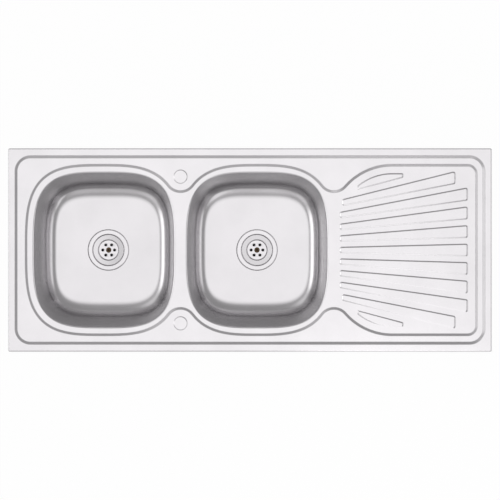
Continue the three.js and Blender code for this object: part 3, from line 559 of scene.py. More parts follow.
NOSE_Y, TOUCH = nose_beside_bowl()
LEFT_NOSE_X = (BOWL_X["left"] + BOWL_X["right"]) / 2
RIGHT_NOSE_X = BOWL_X["right"] + BOWL_PITCH / 2
SHOULDER_Y = WET_HALF[1] - SHOULDER_RADIUS
SHOULDER_X = RIGHT_NOSE_X + sqrt((SHOULDER_RADIUS + NOSE_RADIUS) ** 2 - (NOSE_Y - SHOULDER_Y) ** 2)


def wet_outline():
    """The middle of the slope round bowls and drainer."""
    touch_x, touch_y = superellipse_points(WET_HALF, LOBE_EXPONENT, np.array([TOUCH]), -BOWL_PITCH / 2)[0]
    nose_end = degrees(atan2(touch_y - NOSE_Y, touch_x))
    if nose_end > 0:
        nose_end -= 360
    shoulder_end = degrees(atan2(NOSE_Y - SHOULDER_Y, RIGHT_NOSE_X - SHOULDER_X))
    corner_x = DRAINER_END - DRAINER_CORNER
    corner_y = WET_HALF[1] - DRAINER_CORNER
    back = np.vstack([
        arc(corner_x, corner_y, DRAINER_CORNER, 0, 90),
        arc(SHOULDER_X, SHOULDER_Y, SHOULDER_RADIUS, 90, shoulder_end),
        arc(RIGHT_NOSE_X, NOSE_Y, NOSE_RADIUS, shoulder_end - 180, nose_end)[1:],
        lobe(TOUCH, pi - TOUCH, BOWL_X["right"], steps=110)[1:],
        arc(LEFT_NOSE_X, NOSE_Y, NOSE_RADIUS, -180 - nose_end, nose_end)[1:],
        lobe(TOUCH, pi / 2, BOWL_X["left"])[1:],
        lobe(pi / 2, pi, BOWL_X["left"], END_LOBE_EXPONENT, 90)[1:],
    ])
    front = back[:-1][::-1] * (1, -1)
    return np.vstack([back, front])


# ------------------------------------------------------------------ drainer ribs

RIB_TAPER = (RIB_END_WIDTH - RIB_START_WIDTH) / (RIB_END - RIB_START)


def rib_corner(ray, side, x):
    """Where a rib's long edge, on one side of its ray, meets the upright line at x."""
    half_at_fan = (RIB_START_WIDTH - (RIB_START - FAN_X) * RIB_TAPER) / 2 * side
    start_x = -half_at_fan * sin(radians(ray))
    start_y = half_at_fan * cos(radians(ray))
    slope = tan(radians(ray) + atan(RIB_TAPER / 2) * side)
    return x, start_y + slope * (x - FAN_X - start_x)


def long_rib(index):
    ray = index * FAN_PITCH
    outermost = abs(index) == RIBS_EACH_SIDE
    start = OUTER_RIB_START if outermost else RIB_START
    end = OUTER_RIB_END if outermost else RIB_END
    corners = [rib_corner(ray, side, x) for side, x in ((-1, start), (-1, end), (1, end), (1, start))]
    return round_corners(corners, RIB_CORNER)


def short_rib():
    """The rib between the outermost ray and the contour's shoulder."""
    def ray_y(x):
        return (x - FAN_X) * tan(radians(SHORT_RIB_ANGLE))

    outer_radius = SHOULDER_RADIUS - SHORT_RIB_INSET
    outer_y = WET_HALF[1] - SHORT_RIB_INSET
    start_angle = degrees(acos((SHORT_RIB_START - SHOULDER_X) / outer_radius))
    corners = [(SHORT_RIB_END, ray_y(SHORT_RIB_END)), (SHORT_RIB_END, outer_y),
               (SHORT_RIB_START, outer_y), (SHORT_RIB_START, ray_y(SHORT_RIB_START))]
    steps = 8
    rounded_end = round_corners(corners, SHORT_RIB_CORNER, steps)[:2 * (steps + 1)]
    tip = SHORT_RIB_START, ray_y(SHORT_RIB_START)
    return np.vstack([[tip], rounded_end, arc(SHOULDER_X, SHOULDER_Y, outer_radius, 90, start_angle)])


def rib_outlines():
    ribs = [long_rib(i) for i in range(-RIBS_EACH_SIDE, RIBS_EACH_SIDE + 1)]
    back = short_rib()
    return [*ribs, back, back[::-1] * (1, -1)]


# ------------------------------------------------------------------ panel

FLAT_MARGIN = 0.6
RAISED_MARGIN = 0.3
SLOPE_ROUNDING = 0.14  # share of a slope's width that each of its rounded ends takes


def s_curve(share):
    """A straight slope from 0 to 1 whose two ends are rounded."""
    steepness = 1 / (1 - SLOPE_ROUNDING)
    if share < SLOPE_ROUNDING:
        return steepness * share * share / (2 * SLOPE_ROUNDING)
    if share > 1 - SLOPE_ROUNDING:
        return 1 - steepness * (1 - share) ** 2 / (2 * SLOPE_ROUNDING)
    return steepness * (share - SLOPE_ROUNDING / 2)


def slope_rings(surface, outline, width, outer_z, inner_z, steps=10, margin=FLAT_MARGIN):
    """Rings over a pressed slope, with one more on the flat at each side so that the flats shade flat."""
    rings = [surface.ring(offset(outline, width / 2 + margin), outer_z)]
    for share in np.linspace(0, 1, steps + 1):
        z = outer_z + (inner_z - outer_z) * s_curve(share)
        rings.append(surface.ring(offset(outline, width * (0.5 - share)), z))
    rings.append(surface.ring(offset(outline, -width / 2 - margin), inner_z))
    surface.bands(rings)
    return rings[0], rings[-1]


def raised_flat(surface, outline, level, rise, edge):
    """A flat pressed up from its level, inside a narrow slope."""
    foot, top = slope_rings(surface, outline, edge, level, level + rise, 6, RAISED_MARGIN)
    surface.flat(top)
    return foot


def mouth_loop(centre_x, inset):
    return offset(superellipse(MOUTH_HALF, MOUTH_EXPONENT, MOUTH_STEPS, centre_x), -inset)


def mouth_roll(lean):
    """Inset and height on the roll into a bowl, where it leans by so many degrees from level."""
    return MOUTH_ROLL * sin(radians(lean)), WET - MOUTH_ROLL * (1 - cos(radians(lean)))


WALL_LEAN = 90 - WALL_DRAFT
ROLL_INSET, ROLL_Z = mouth_roll(WALL_LEAN)
COLLAR_INSET = ROLL_INSET + COLLAR * sin(radians(WALL_DRAFT))
COLLAR_Z = ROLL_Z - COLLAR * cos(radians(WALL_DRAFT))


def mouth_rings(surface, centre_x, steps=10):
    rings = [surface.ring(mouth_loop(centre_x, -FLAT_MARGIN), WET)]
    for lean in np.linspace(0, WALL_LEAN, steps + 1):
        inset, z = mouth_roll(lean)
        rings.append(surface.ring(mouth_loop(centre_x, inset), z))
    rings.append(surface.ring(mouth_loop(centre_x, COLLAR_INSET), COLLAR_Z))
    surface.bands(rings)
    return rings[0]


def rim_rings(surface, steps=8):
    """Rings up the sink's outer edge and over its roll on to the rim."""
    outline = rounded_rectangle(HALF_LENGTH, HALF_WIDTH, EDGE_CORNER, spacing=0.5)
    rings = [surface.ring(outline, SEAT)]
    for lean in np.linspace(90, 0, steps + 1):
        inset = EDGE_ROLL * (1 - sin(radians(lean)))
        rings.append(surface.ring(offset(outline, -inset), RIM_TOP - EDGE_ROLL * (1 - cos(radians(lean)))))
    rings.append(surface.ring(offset(outline, -EDGE_ROLL - FLAT_MARGIN), RIM_TOP))
    surface.bands(rings)
    return rings[-1]


def build_panel():
    surface = Surface()
    inset_x, inset_y = (band + RIM_SLOPE / 2 for band in RIM_BAND)
    rim_slope = rounded_rectangle(HALF_LENGTH - inset_x, HALF_WIDTH - inset_y, RIM_SLOPE_CORNER)
    rim_edge = rim_rings(surface)
    rim_hole, deck_edge = slope_rings(surface, rim_slope, RIM_SLOPE, RIM_TOP, DECK)
    surface.flat(rim_edge, [rim_hole])
    deck_hole, wet_edge = slope_rings(surface, wet_outline(), WET_SLOPE, DECK, WET)
    taps = []
    for y in (TAP_Y, -TAP_Y):
        blank = circle(TAP_RADIUS - TAP_EDGE / 2, centre=(LEFT_NOSE_X, y))
        taps.append(raised_flat(surface, blank, DECK, TAP_RISE, TAP_EDGE))
    surface.flat(deck_edge, [deck_hole, *taps])
    ribs = [raised_flat(surface, outline, WET, RIB_RISE, RIB_SLOPE) for outline in rib_outlines()]
    mouths = [mouth_rings(surface, x) for x in BOWL_X.values()]
    surface.flat(wet_edge, [*mouths, *ribs])
    piece = thicken(surface.piece("pressed_panel"), SHEET)
    finish_piece(piece, MATERIALS["panel"], "steel", "root", "deck_panel")


build_panel()


# ------------------------------------------------------------------ bowls

FILLET_Z = FLOOR_Z + FILLET_HEIGHT
RECESS_Z = FLOOR_Z - FLOOR_FALL


def bowl_loop(share):
    """The bowl's inside outline, from the collar's edge at share 0 to the floor's edge at share 1."""
    floor = superellipse(FLOOR_HALF, FLOOR_EXPONENT, MOUTH_STEPS)
    return mouth_loop(0.0, COLLAR_INSET) * (1 - share) + floor * share


def fillet_shares(steps):
    """Shares and heights down the sweep from wall to floor, an ellipse that carries on the wall's slope."""
    slope_ratio = WALL_SHARE / (COLLAR_Z - FILLET_Z) * FILLET_HEIGHT / (1 - WALL_SHARE)
    start_sine = slope_ratio / (1 - slope_ratio)
    start = asin(start_sine)
    for angle in np.linspace(start, pi / 2, steps + 1)[1:]:
        across = 1 - cos(angle) / cos(start)
        down = (sin(angle) - start_sine) / (1 - start_sine)
        yield WALL_SHARE + (1 - WALL_SHARE) * across, FILLET_Z - FILLET_HEIGHT * down


def build_bowl(side, wall_steps=8, fillet_steps=28, floor_steps=8, recess_steps=10):
    surface = Surface()
    rings = []
    for share in np.linspace(0, 1, wall_steps + 1):
        rings.append(surface.ring(bowl_loop(WALL_SHARE * share), COLLAR_Z + (FILLET_Z - COLLAR_Z) * share))
    for share, z in fillet_shares(fillet_steps):
        rings.append(surface.ring(bowl_loop(share), z))
    recess = circle(RECESS_RADIUS + FLAT_MARGIN, MOUTH_STEPS)
    for share in np.linspace(0, 1, floor_steps + 1)[1:]:
        floor = bowl_loop(1) * (1 - share) + recess * share
        rings.append(surface.ring(floor, FLOOR_Z - FLOOR_FALL * share))
    for share in np.linspace(0, 1, recess_steps + 1):
        radius = RECESS_RADIUS + (RECESS_SEAT_RADIUS - RECESS_RADIUS) * share
        rings.append(surface.ring(circle(radius, MOUTH_STEPS), RECESS_Z - RECESS_DEPTH * s_curve(share)))
    for radius in (RECESS_SEAT_RADIUS - FLAT_MARGIN, WASTE_HOLE_RADIUS):
        rings.append(surface.ring(circle(radius, MOUTH_STEPS), RECESS_Z - RECESS_DEPTH))
    surface.bands(rings)
    piece = thicken(surface.piece(f"{side}_drawn_bowl", (BOWL_X[side], 0, 0)), SHEET)
    finish_piece(piece, MATERIALS["bowl"], "steel", "root", f"{side}_bowl")


for bowl_side in BOWL_X:
    build_bowl(bowl_side)


def build_pad(side):
    """A bitumen sheet under the bowl's floor."""
    surface = Surface()
    recess = circle(RECESS_RADIUS, MOUTH_STEPS)
    for low in (-PAD_THICKNESS, 0):
        for share in PAD_SHARES:
            z = FLOOR_Z - FLOOR_FALL * share - SHEET - SEAT + low
            surface.ring(bowl_loop(1) * (1 - share) + recess * share, z)
    outer_low, inner_low, outer_high, inner_high = np.split(np.arange(len(surface.points)), 4)
    surface.bands([outer_low, inner_low, inner_high, outer_high, outer_low])
    piece = weld(surface.piece(f"{side}_deadening_sheet", (BOWL_X[side], 0, 0)))
    settle(bevel(piece, width=0.8, segments=3, angle=50))
    finish_piece(piece, MATERIALS["pad"], "sound_pad", "root", f"{side}_sound_pad")


for bowl_side in BOWL_X:
    build_pad(bowl_side)


# ------------------------------------------------------------------ wastes

FLANGE_TOP = FLANGE_HIGH[2]
PLUG_SEAT = FLANGE_TOP - DISH_DEPTH
STRAINER_TOP = PLUG_SEAT - DISH_FALL - STRAINER_DEPTH
SCREW_TOP = STRAINER_TOP - DIMPLE_DEPTH + SCREW_HEAD_DEPTH + SEAT
BODY_TOP = BODY_HIGH[2]
CUP_BOTTOM = BODY_TOP - CUP_DEPTH
TAIL_TOP = CUP_BOTTOM - CONE_DEPTH
TAIL_END = BODY_LOW[2]
BOSS_TOP = STRAINER_TOP - FLANGE_SHEET - DIMPLE_DEPTH - SEAT
BOSS_BOTTOM = BOSS_TOP - SPIDER_DEPTH
NUT_LOW, NUT_HIGH = node_box("left_waste_nut")
SCREW_LOW, _ = node_box("left_waste_screw")


def build_flange(side):
    """Flange, plug's seat and strainer: one stepped pressing, with holes and a dimple for the screw."""
    surface = Surface()
    steps = round_bends([
        (FLANGE_RADIUS, FLANGE_TOP - FLANGE_BEVEL_DROP),
        (FLANGE_RADIUS - FLANGE_BEVEL, FLANGE_TOP),
        (DISH_RADIUS + HALF_STEP, FLANGE_TOP),
        (DISH_RADIUS - HALF_STEP, PLUG_SEAT),
        (STRAINER_RADIUS + HALF_STEP, PLUG_SEAT - DISH_FALL),
        (STRAINER_RADIUS - HALF_STEP, STRAINER_TOP),
        (STRAINER_RADIUS - 3 * HALF_STEP, STRAINER_TOP),
    ], [FLANGE_BEVEL_BEND, *[FLANGE_BEND] * 4])
    outer = surface.rounds(steps, FLANGE_STEPS)
    dimple = round_bends([
        (DIMPLE_RADIUS + 2 * HALF_STEP, STRAINER_TOP),
        (DIMPLE_RADIUS, STRAINER_TOP),
        (SCREW_PASSAGE, STRAINER_TOP - DIMPLE_DEPTH),
    ], FLANGE_BEND)
    inner = surface.rounds(dimple, SMALL_ROUND_STEPS)
    holes = []
    for turn in np.linspace(0, 2 * pi, STRAINER_HOLES, endpoint=False):
        centre = STRAINER_PITCH_RADIUS * cos(turn), STRAINER_PITCH_RADIUS * sin(turn)
        lip = [surface.ring(circle(STRAINER_HOLE_RADIUS + spread, HOLE_STEPS, centre), STRAINER_TOP - drop)
               for spread, drop in STRAINER_LIP]
        surface.bands(lip)
        holes.append(lip[0])
    surface.flat(outer[-1], [inner[0], *holes])
    piece = thicken(surface.piece(f"{side}_stepped_flange", (BOWL_X[side], 0, 0)), FLANGE_SHEET)
    finish_piece(piece, MATERIALS["flange"], "polished_steel", "root", f"{side}_waste_flange")


def build_waste_screw(side):
    """A socket screw: a countersunk head with a hexagonal socket, and a threaded shank."""
    surface = Surface()
    head_low = SCREW_TOP - SCREW_HEAD_DEPTH
    head = surface.rounds(round_bends([
        (SCREW_RADIUS, head_low), (SCREW_HEAD_RADIUS, SCREW_TOP - SCREW_HEAD_EDGE),
        (SCREW_HEAD_RADIUS, SCREW_TOP), (SCREW_HEAD_RADIUS - 1, SCREW_TOP),
    ], SCREW_HEAD_BEND), SMALL_ROUND_STEPS)
    socket_low = SCREW_TOP - SCREW_SOCKET_DEPTH
    socket = [surface.ring(hexagon(SCREW_SOCKET_FLATS), z) for z in (SCREW_TOP, socket_low)]
    surface.band(*socket)
    surface.flat(head[-1], [socket[0]])
    surface.flat(socket[1])
    foot = surface.ring(circle(SCREW_RADIUS - SCREW_TIP, SMALL_ROUND_STEPS), SCREW_LOW[2])
    first, last = surface.thread(
        SCREW_RADIUS, SCREW_THREAD_DEPTH, SCREW_THREAD_PITCH,
        SCREW_LOW[2] + SCREW_TIP, head_low - SCREW_NECK, SMALL_ROUND_STEPS)
    surface.band(foot, first)
    shank = circle(SCREW_RADIUS, SMALL_ROUND_STEPS)
    surface.bands([last, surface.ring(shank, head_low - SCREW_NECK / 2), surface.ring(shank, head_low)])
    surface.flat(foot)
    piece = settle(weld(surface.piece(f"{side}_socket_screw", (BOWL_X[side], 0, 0))))
    # The screw head's very dark brown is partly painted shade for its place low in the dimple.
    finish_piece(piece, MATERIALS["brass"], "brass", "root", f"{side}_waste_screw")
    # The faces inside the hexagonal socket get a near-black material: painted shade for the recess.
    piece.data.materials.append(MATERIALS["socket"])
    tolerance = 0.01
    for face in piece.data.polygons:
        middle = face.center / MM
        within = hypot(middle.x, middle.y) < SCREW_SOCKET_FLATS / 2 + tolerance
        if within and middle.z > socket_low - tolerance:
            face.material_index = 1


def build_waste_nut(side):
    surface = Surface()
    bore = circle(SCREW_RADIUS + BORE_CLEARANCE, BORE_STEPS)
    surface.solid(hexagon(WASTE_NUT_FLATS), NUT_LOW[2], NUT_HIGH[2], [bore])
    piece = weld(surface.piece(f"{side}_hexagon_nut", (BOWL_X[side], 0, 0)))
    settle(bevel(piece, width=0.4, segments=2, angle=40))
    finish_piece(piece, MATERIALS["brass"], "brass", "root", f"{side}_waste_nut")


def build_gasket(side, level):
    low, high = node_box(f"left_waste_{level}_gasket")
    radius = high[0] - BOWL_X["left"]
    bore = WASTE_HOLE_RADIUS
    profile = [(bore, low[2]), (radius, low[2]), (radius, high[2]), (bore, high[2])]
    surface = Surface()
    surface.turned(round_corners(profile, GASKET_EDGE, steps=4), FLANGE_STEPS)
    piece = settle(weld(surface.piece(f"{side}_{level}_ring", (BOWL_X[side], 0, 0))))
    finish_piece(piece, MATERIALS["rubber"], "rubber", "root", f"{side}_waste_{level}_gasket")


def build_waste_body(side):
    """A moulded cup on a threaded tail, with arms that carry the boss for the screw and its nut."""
    surface = Surface()
    outer_cup = CUP_RADIUS + BODY_WALL
    tail_root = TAIL_RADIUS - TAIL_THREAD_DEPTH
    flange_low = BODY_TOP - BODY_FLANGE_THICKNESS
    shell = [  # radius, height and rounding
        (tail_root, TAIL_TOP - TAIL_NECK, 0), (tail_root, TAIL_TOP, CONE_BEND),
        (outer_cup, CUP_BOTTOM, CUP_BEND), (outer_cup, flange_low, FLANGE_NECK_BEND),
        (BODY_FLANGE_RADIUS, flange_low, MOULDED_EDGE),
        (BODY_FLANGE_RADIUS, BODY_TOP, MOULDED_EDGE), (CUP_RADIUS, BODY_TOP, MOULDED_EDGE),
        (CUP_RADIUS, CUP_BOTTOM, CUP_BEND), (TAIL_BORE_RADIUS, TAIL_TOP, CUP_BEND),
        (TAIL_BORE_RADIUS, TAIL_END, TAIL_EDGE), (tail_root, TAIL_END, 0),
    ]
    profile = round_corners([corner[:2] for corner in shell], [corner[2] for corner in shell], steps=4)
    rings = surface.rounds(profile, ROUND_STEPS)
    first, last = surface.thread(
        TAIL_RADIUS, TAIL_THREAD_DEPTH, TAIL_THREAD_PITCH,
        TAIL_END + TAIL_LEAD, TAIL_TOP - TAIL_NECK, ROUND_STEPS, rows=8)
    surface.band(rings[-1], first)
    surface.band(last, rings[0])
    arm_reach = CUP_RADIUS + BODY_WALL / 2
    for index in range(SPIDER_ARMS):
        turn = radians(SPIDER_TURN + 360 / SPIDER_ARMS * index)
        along = np.array([cos(turn), sin(turn)])
        across = np.array([-sin(turn), cos(turn)]) * SPIDER_WIDTH / 2
        near, far = along * (BOSS_RADIUS - BOSS_OVERLAP), along * arm_reach
        arm = np.array([near - across, far - across, far + across, near + across])
        surface.solid(arm, BOSS_BOTTOM, BOSS_TOP)
    boss = circle(BOSS_RADIUS, SMALL_ROUND_STEPS)
    screw_bore = circle(SCREW_RADIUS + BORE_CLEARANCE, SMALL_ROUND_STEPS)
    nut_pocket = hexagon(WASTE_NUT_FLATS + 2 * BORE_CLEARANCE)
    pocket_top = NUT_HIGH[2] + SEAT
    surface.solid(boss, pocket_top, BOSS_TOP, [screw_bore])
    surface.solid(boss, BOSS_BOTTOM, pocket_top, [nut_pocket])
    piece = settle(weld(surface.piece(f"{side}_moulded_body", (BOWL_X[side], 0, 0))))
    finish_piece(piece, MATERIALS["plastic"], "waste_plastic", "root", f"{side}_waste_body")


for bowl_side in BOWL_X:
    build_flange(bowl_side)
    build_waste_screw(bowl_side)
    build_waste_nut(bowl_side)
    build_gasket(bowl_side, "upper")
    build_gasket(bowl_side, "lower")
    build_waste_body(bowl_side)


# ------------------------------------------------------------------ fixing clips: stud on Z, rim at +Y

CLIPS = 8
STUD_LOW, STUD_HIGH = node_box("clip_1_stud")
CLAW_LOW, CLAW_HIGH = node_box("clip_1_claw")
_, WING_NUT_HIGH = node_box("clip_1_wing_nut")
_, BRACKET_HIGH = node_box("clip_1_bracket")


def bracket_shape(name):
    """A hat section of bent sheet, with a hole for the stud in its web."""
    surface = Surface()
    half_sheet = BRACKET_SHEET / 2
    wall_x = BRACKET_SPAN / 2 - half_sheet
    foot_z = BRACKET_HIGH[2] - half_sheet
    web_z = BRACKET_HIGH[2] - BRACKET_DROP + half_sheet
    web_x, half_width = wall_x - 2 * BRACKET_BEND, BRACKET_WIDTH / 2
    foot_and_wall = round_bends([
        (wall_x + half_sheet + BRACKET_FOOT, foot_z), (wall_x, foot_z), (wall_x, web_z), (web_x, web_z),
    ], BRACKET_BEND)
    for mirror in (1, -1):
        surface.strip(foot_and_wall * (mirror, 1), half_width)
    web = [(web_x, -half_width), (web_x, half_width), (-web_x, half_width), (-web_x, -half_width)]
    bore = circle(STUD_RADIUS + BORE_CLEARANCE, BORE_STEPS)
    surface.flat(surface.ring(web, web_z), [surface.ring(bore, web_z)])
    piece = thicken(weld(surface.piece(name)), BRACKET_SHEET, side=0)
    return bevel(piece, width=0.25, angle=50)


def stud_shape(name):
    surface = Surface()
    head_low = STUD_HIGH[2] - STUD_HEAD_THICKNESS
    head = surface.rounds(round_bends([
        (STUD_RADIUS, head_low), (STUD_HEAD_RADIUS, head_low),
        (STUD_HEAD_RADIUS, STUD_HIGH[2]), (STUD_HEAD_RADIUS - 2, STUD_HIGH[2]),
    ], STUD_HEAD_BENDS), THREAD_STEPS)
    foot = surface.ring(circle(STUD_RADIUS - STUD_TIP, THREAD_STEPS), STUD_LOW[2])
    first, last = surface.thread(
        STUD_RADIUS, SCREW_THREAD_DEPTH, SCREW_THREAD_PITCH, STUD_LOW[2] + STUD_TIP, head_low - STUD_NECK)
    surface.band(foot, first)
    surface.band(last, head[0])
    surface.flat(foot)
    surface.flat(head[-1])
    return settle(weld(surface.piece(name)))


def claw_shape(name):
    """A stamped arm with a round heel, whose end is bent up and toothed."""
    surface = Surface()
    half_sheet, half_width = CLAW_SHEET / 2, CLAW_WIDTH / 2
    arm_z = CLAW_LOW[2] + half_sheet
    tip_x, top_z = CLAW_REACH - half_sheet, CLAW_HIGH[2]
    bend_x, bend_z = tip_x - CLAW_BEND, arm_z + CLAW_BEND
    heel = arc(0, 0, half_width, 90, 270, spacing=1)
    plan = np.vstack([heel, [(bend_x, -half_width), (bend_x, half_width)]])
    bore = circle(STUD_RADIUS + BORE_CLEARANCE, BORE_STEPS)
    surface.flat(surface.ring(plan, arm_z), [surface.ring(bore, arm_z)])
    surface.strip(arc(bend_x, bend_z, CLAW_BEND, 270, 360, spacing=0.8), half_width)
    pitch = CLAW_WIDTH / CLAW_TEETH
    teeth = [(half_width, top_z)]
    for gap in range(CLAW_TEETH - 1):
        y = half_width - (gap + 1) * pitch
        teeth += [(y + pitch / 4, top_z), (y, top_z - CLAW_TOOTH_DEPTH), (y - pitch / 4, top_z)]
    teeth.append((-half_width, top_z))
    outline = [(-half_width, bend_z), (half_width, bend_z), *teeth]
    surface.patch([(tip_x, y, z) for y, z in outline])
    piece = thicken(weld(surface.piece(name)), CLAW_SHEET, side=0)
    return bevel(piece, width=0.3, angle=50)


def wing_nut_shape(name):
    """A forged hub with two wings that droop past its lower end."""
    surface = Surface()
    low, high = WING_NUT_HIGH[2] - WING_NUT_HEIGHT, WING_NUT_HIGH[2]
    bore = STUD_RADIUS + BORE_CLEARANCE
    foot = WING_NUT_HUB_RADIUS - WING_NUT_HUB_TAPER
    hub = [(bore, low), (foot, low), (WING_NUT_HUB_RADIUS, high), (bore, high)]
    surface.turned(round_corners(hub, WING_NUT_HUB_BENDS, steps=4), SMALL_ROUND_STEPS)
    root_x, tip_x, tip_z = WING_NUT_HUB_RADIUS - WING_ROOT, WING_SPAN / 2, low - WING_DROP
    wing = round_corners([
        (root_x, low + WING_EDGE), (tip_x - WING_TIP_WIDTH, tip_z + WING_TIP_WIDTH / 2),
        (tip_x, tip_z + WING_TIP_WIDTH), (tip_x - WING_EDGE, low + WING_TIP_WIDTH),
        (root_x, high - WING_EDGE),
    ], WING_BENDS, steps=5)
    for mirror in (1, -1):
        start = len(surface.points)
        surface.solid(wing, -WING_THICKNESS / 2, WING_THICKNESS / 2)
        surface.points[start:] = [(x * mirror, -z, y) for x, y, z in surface.points[start:]]
    return bevel(weld(surface.piece(name)), width=0.5, segments=3, angle=50)


# shape, name in the scene, material and slot
CLIP_PIECES = {
    "bracket": (bracket_shape, "hat_bracket", "panel", "steel"),
    "stud": (stud_shape, "threaded_stud", "zinc", "zinced_steel"),
    "claw": (claw_shape, "toothed_claw", "zinc", "zinced_steel"),
    "wing_nut": (wing_nut_shape, "winged_nut", "zinc", "zinced_steel"),
}
CLIP_BODIES = {"bracket": "root", "stud": "root", "claw": "clip_{}_arm", "wing_nut": "clip_{}_nut"}


def clip_place(index):
    """Where a clip's stud stands, and the clip's turn so that its rim side faces outwards."""
    low, high = node_box(f"clip_{index}_stud")
    x, y = (low[:2] + high[:2]) / 2
    if abs(y) > HALF_WIDTH / 2:
        return x, y, 0.0 if y > 0 else pi
    return x, y, -pi / 2 if x > 0 else pi / 2


def build_clips():
    """Each part of a clip is shaped once, and its mesh then serves all the clips."""
    for part, (shape, name, material, slot) in CLIP_PIECES.items():
        pattern = settle(shape(name))
        for index in range(1, CLIPS + 1):
            x, y, turn = clip_place(index)
            piece = bpy.data.objects.new(f"clip_{index}_{name}", pattern.data)
            bpy.context.scene.collection.objects.link(piece)
            piece.location = (x * MM, y * MM, 0)
            piece.rotation_euler = (0, 0, turn)
            body = CLIP_BODIES[part].format(index)
            finish_piece(piece, MATERIALS[material], slot, body, f"clip_{index}_{part}")
        bpy.data.objects.remove(pattern)


build_clips()


# ------------------------------------------------------------------ sealing strips, kept from the frame

def finish_seals():
    for side in ("front", "back", "left", "right"):
        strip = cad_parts[f"{side}_seal"]
        strip.data.materials.clear()
        strip.data.materials.append(MATERIALS["foam"])
        bevel(strip, width=1.2, segments=3)


finish_seals()


# ------------------------------------------------------------------ camera, floor and light

CAMERA_HEIGHT = 4612.0  # above the rim
LENS, SENSOR_WIDTH = 133.9, 36.0
FLOOR_REACH = 30000.0
FLOOR_WHITE_SHARE = 0.97
FLOOR_DARK_RADIUS = 23.0  # below each waste
SKY_COLOUR = (1.0, 0.99, 1.0, 1.0)
GLOW = 0.4
# each light's tilt from straight up, azimuth and half width in degrees, and its strength
SOFT_LIGHTS = [
    (0, 0, 28, 1.15),
    (50, 130, 22, 0.6),
    (50, 180, 24, 1.8),
    (68, 180, 24, 0.35),
    (52, 230, 22, 0.6),
    (50, 270, 22, 0.4),
    (86, 270, 28, 0.5),
    (70, 0, 24, 1.1),
    (86, 90, 28, 0.5),
]
SOFTBOX_X = (150.0, 700.0)
SOFTBOX_Y = (-1300.0, -350.0)
SOFTBOX_Z = 700.0
SOFTBOX_STRENGTH = 0.9


def add_camera():
    data = bpy.data.cameras.new("camera")
    data.lens = LENS
    data.sensor_width = SENSOR_WIDTH
    data.clip_end = 100.0
    camera = bpy.data.objects.new("camera", data)
    camera.location = (0, 0, (CAMERA_HEIGHT + RIM_TOP) * MM)
    bpy.context.scene.collection.objects.link(camera)
    bpy.context.scene.camera = camera


def math_node(tree, operation, first, second, kind="ShaderNodeMath"):
    """Two values, each given or another node's output, put through one sum."""
    node = tree.nodes.new(kind)
    node.operation = operation
    for socket, value in zip(node.inputs, (first, second)):
        if isinstance(value, bpy.types.NodeSocket):
            tree.links.new(value, socket)
        else:
            socket.default_value = value
    return node.outputs["Value"]


def mix_shaders(tree, share, first, second, output):
    """Sends two shaders to a tree's output, mixed by a share."""
    mix = tree.nodes.new("ShaderNodeMixShader")
    for value, socket in ((share, "Fac"), (first, 1), (second, 2)):
        tree.links.new(value, mix.inputs[socket])
    tree.links.new(mix.outputs[0], tree.nodes[output].inputs["Surface"])


def add_floor():
    """A pale floor, plain white to the eye and in reflections except where it shows through a waste."""
    reach, z = FLOOR_REACH * MM, BODY_LOW[2] * MM
    mesh = bpy.data.meshes.new("studio_floor")
    corners = [(x * reach, y * reach, z) for x, y in ((-1, -1), (1, -1), (1, 1), (-1, 1))]
    mesh.from_pydata(corners, [], [(0, 1, 2, 3)])
    floor = link("studio_floor", mesh)
    nodes = Nodes("studio_floor")
    nodes.set(Base_Color=(0.9, 0.9, 0.9, 1.0), Roughness=0.9)
    nodes.bump(nodes.noise(40.0), "Fac", distance=0.05, strength=0.1)
    tree = nodes.tree
    path = tree.nodes.new("ShaderNodeLightPath")
    seen = math_node(tree, "MAXIMUM", path.outputs["Is Camera Ray"], path.outputs["Is Glossy Ray"])
    seen = math_node(tree, "MAXIMUM", seen, path.outputs["Is Transmission Ray"])
    share = math_node(tree, "MULTIPLY", seen, FLOOR_WHITE_SHARE)
    place = tree.nodes.new("ShaderNodeTexCoord").outputs["Object"]
    for x in BOWL_X.values():
        away = math_node(tree, "DISTANCE", place, (x * MM, 0, z), "ShaderNodeVectorMath")
        outside = math_node(tree, "GREATER_THAN", away, FLOOR_DARK_RADIUS * MM)
        share = math_node(tree, "MULTIPLY", share, outside)
    white = tree.nodes.new("ShaderNodeEmission")
    mix_shaders(tree, share, nodes.shader.outputs["BSDF"], white.outputs[0], "Material Output")
    mesh.materials.append(nodes.material)


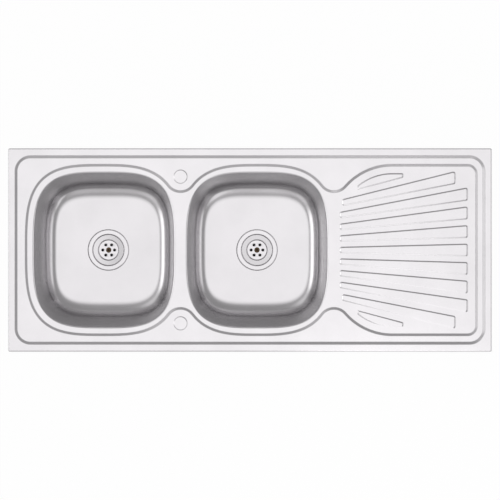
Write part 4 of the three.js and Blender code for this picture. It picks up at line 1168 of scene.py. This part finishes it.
def direction(tilt, azimuth):
    """A unit vector leaning from straight up towards an azimuth, both in degrees."""
    tilt, azimuth = radians(tilt), radians(azimuth)
    return sin(tilt) * cos(azimuth), sin(tilt) * sin(azimuth), cos(tilt)


def add_sky():
    """A soft studio: an even glow, and broad soft lights that are patches of the sky with faded edges.

    The camera sees plain white in place of the sky.
    """
    world = bpy.data.worlds.new("studio")
    bpy.context.scene.world = world
    world.use_nodes = True
    tree = world.node_tree
    look = tree.nodes.new("ShaderNodeTexCoord").outputs["Generated"]
    total = GLOW
    for tilt, azimuth, width, strength in SOFT_LIGHTS:
        aim = math_node(tree, "DOT_PRODUCT", look, direction(tilt, azimuth), "ShaderNodeVectorMath")
        fade = tree.nodes.new("ShaderNodeMapRange")
        fade.interpolation_type = "SMOOTHSTEP"
        fade.inputs["From Min"].default_value = cos(radians(width))
        fade.inputs["To Max"].default_value = strength
        tree.links.new(aim, fade.inputs["Value"])
        total = math_node(tree, "ADD", total, fade.outputs["Result"])
    background = tree.nodes["Background"]
    tree.links.new(total, background.inputs["Strength"])
    background.inputs["Color"].default_value = SKY_COLOUR
    path = tree.nodes.new("ShaderNodeLightPath")
    white = tree.nodes.new("ShaderNodeBackground")
    white.inputs["Color"].default_value = (1.0, 1.0, 1.0, 1.0)
    mix_shaders(tree, path.outputs["Is Camera Ray"], background.outputs[0], white.outputs[0], "World Output")


def add_softbox():
    """A soft panel that hangs level in front of the drainer, out of the camera's sight."""
    data = bpy.data.lights.new("softbox", "AREA")
    data.shape = "RECTANGLE"
    data.size = (SOFTBOX_X[1] - SOFTBOX_X[0]) * MM
    data.size_y = (SOFTBOX_Y[1] - SOFTBOX_Y[0]) * MM
    data.energy = pi * data.size * data.size_y * SOFTBOX_STRENGTH
    data.color = SKY_COLOUR[:3]
    softbox = bpy.data.objects.new("softbox", data)
    softbox.location = (sum(SOFTBOX_X) / 2 * MM, sum(SOFTBOX_Y) / 2 * MM, SOFTBOX_Z * MM)
    softbox.visible_camera = False
    bpy.context.scene.collection.objects.link(softbox)


add_camera()
add_floor()
add_sky()
add_softbox()

bpy.context.scene.view_settings.view_transform = "Standard"
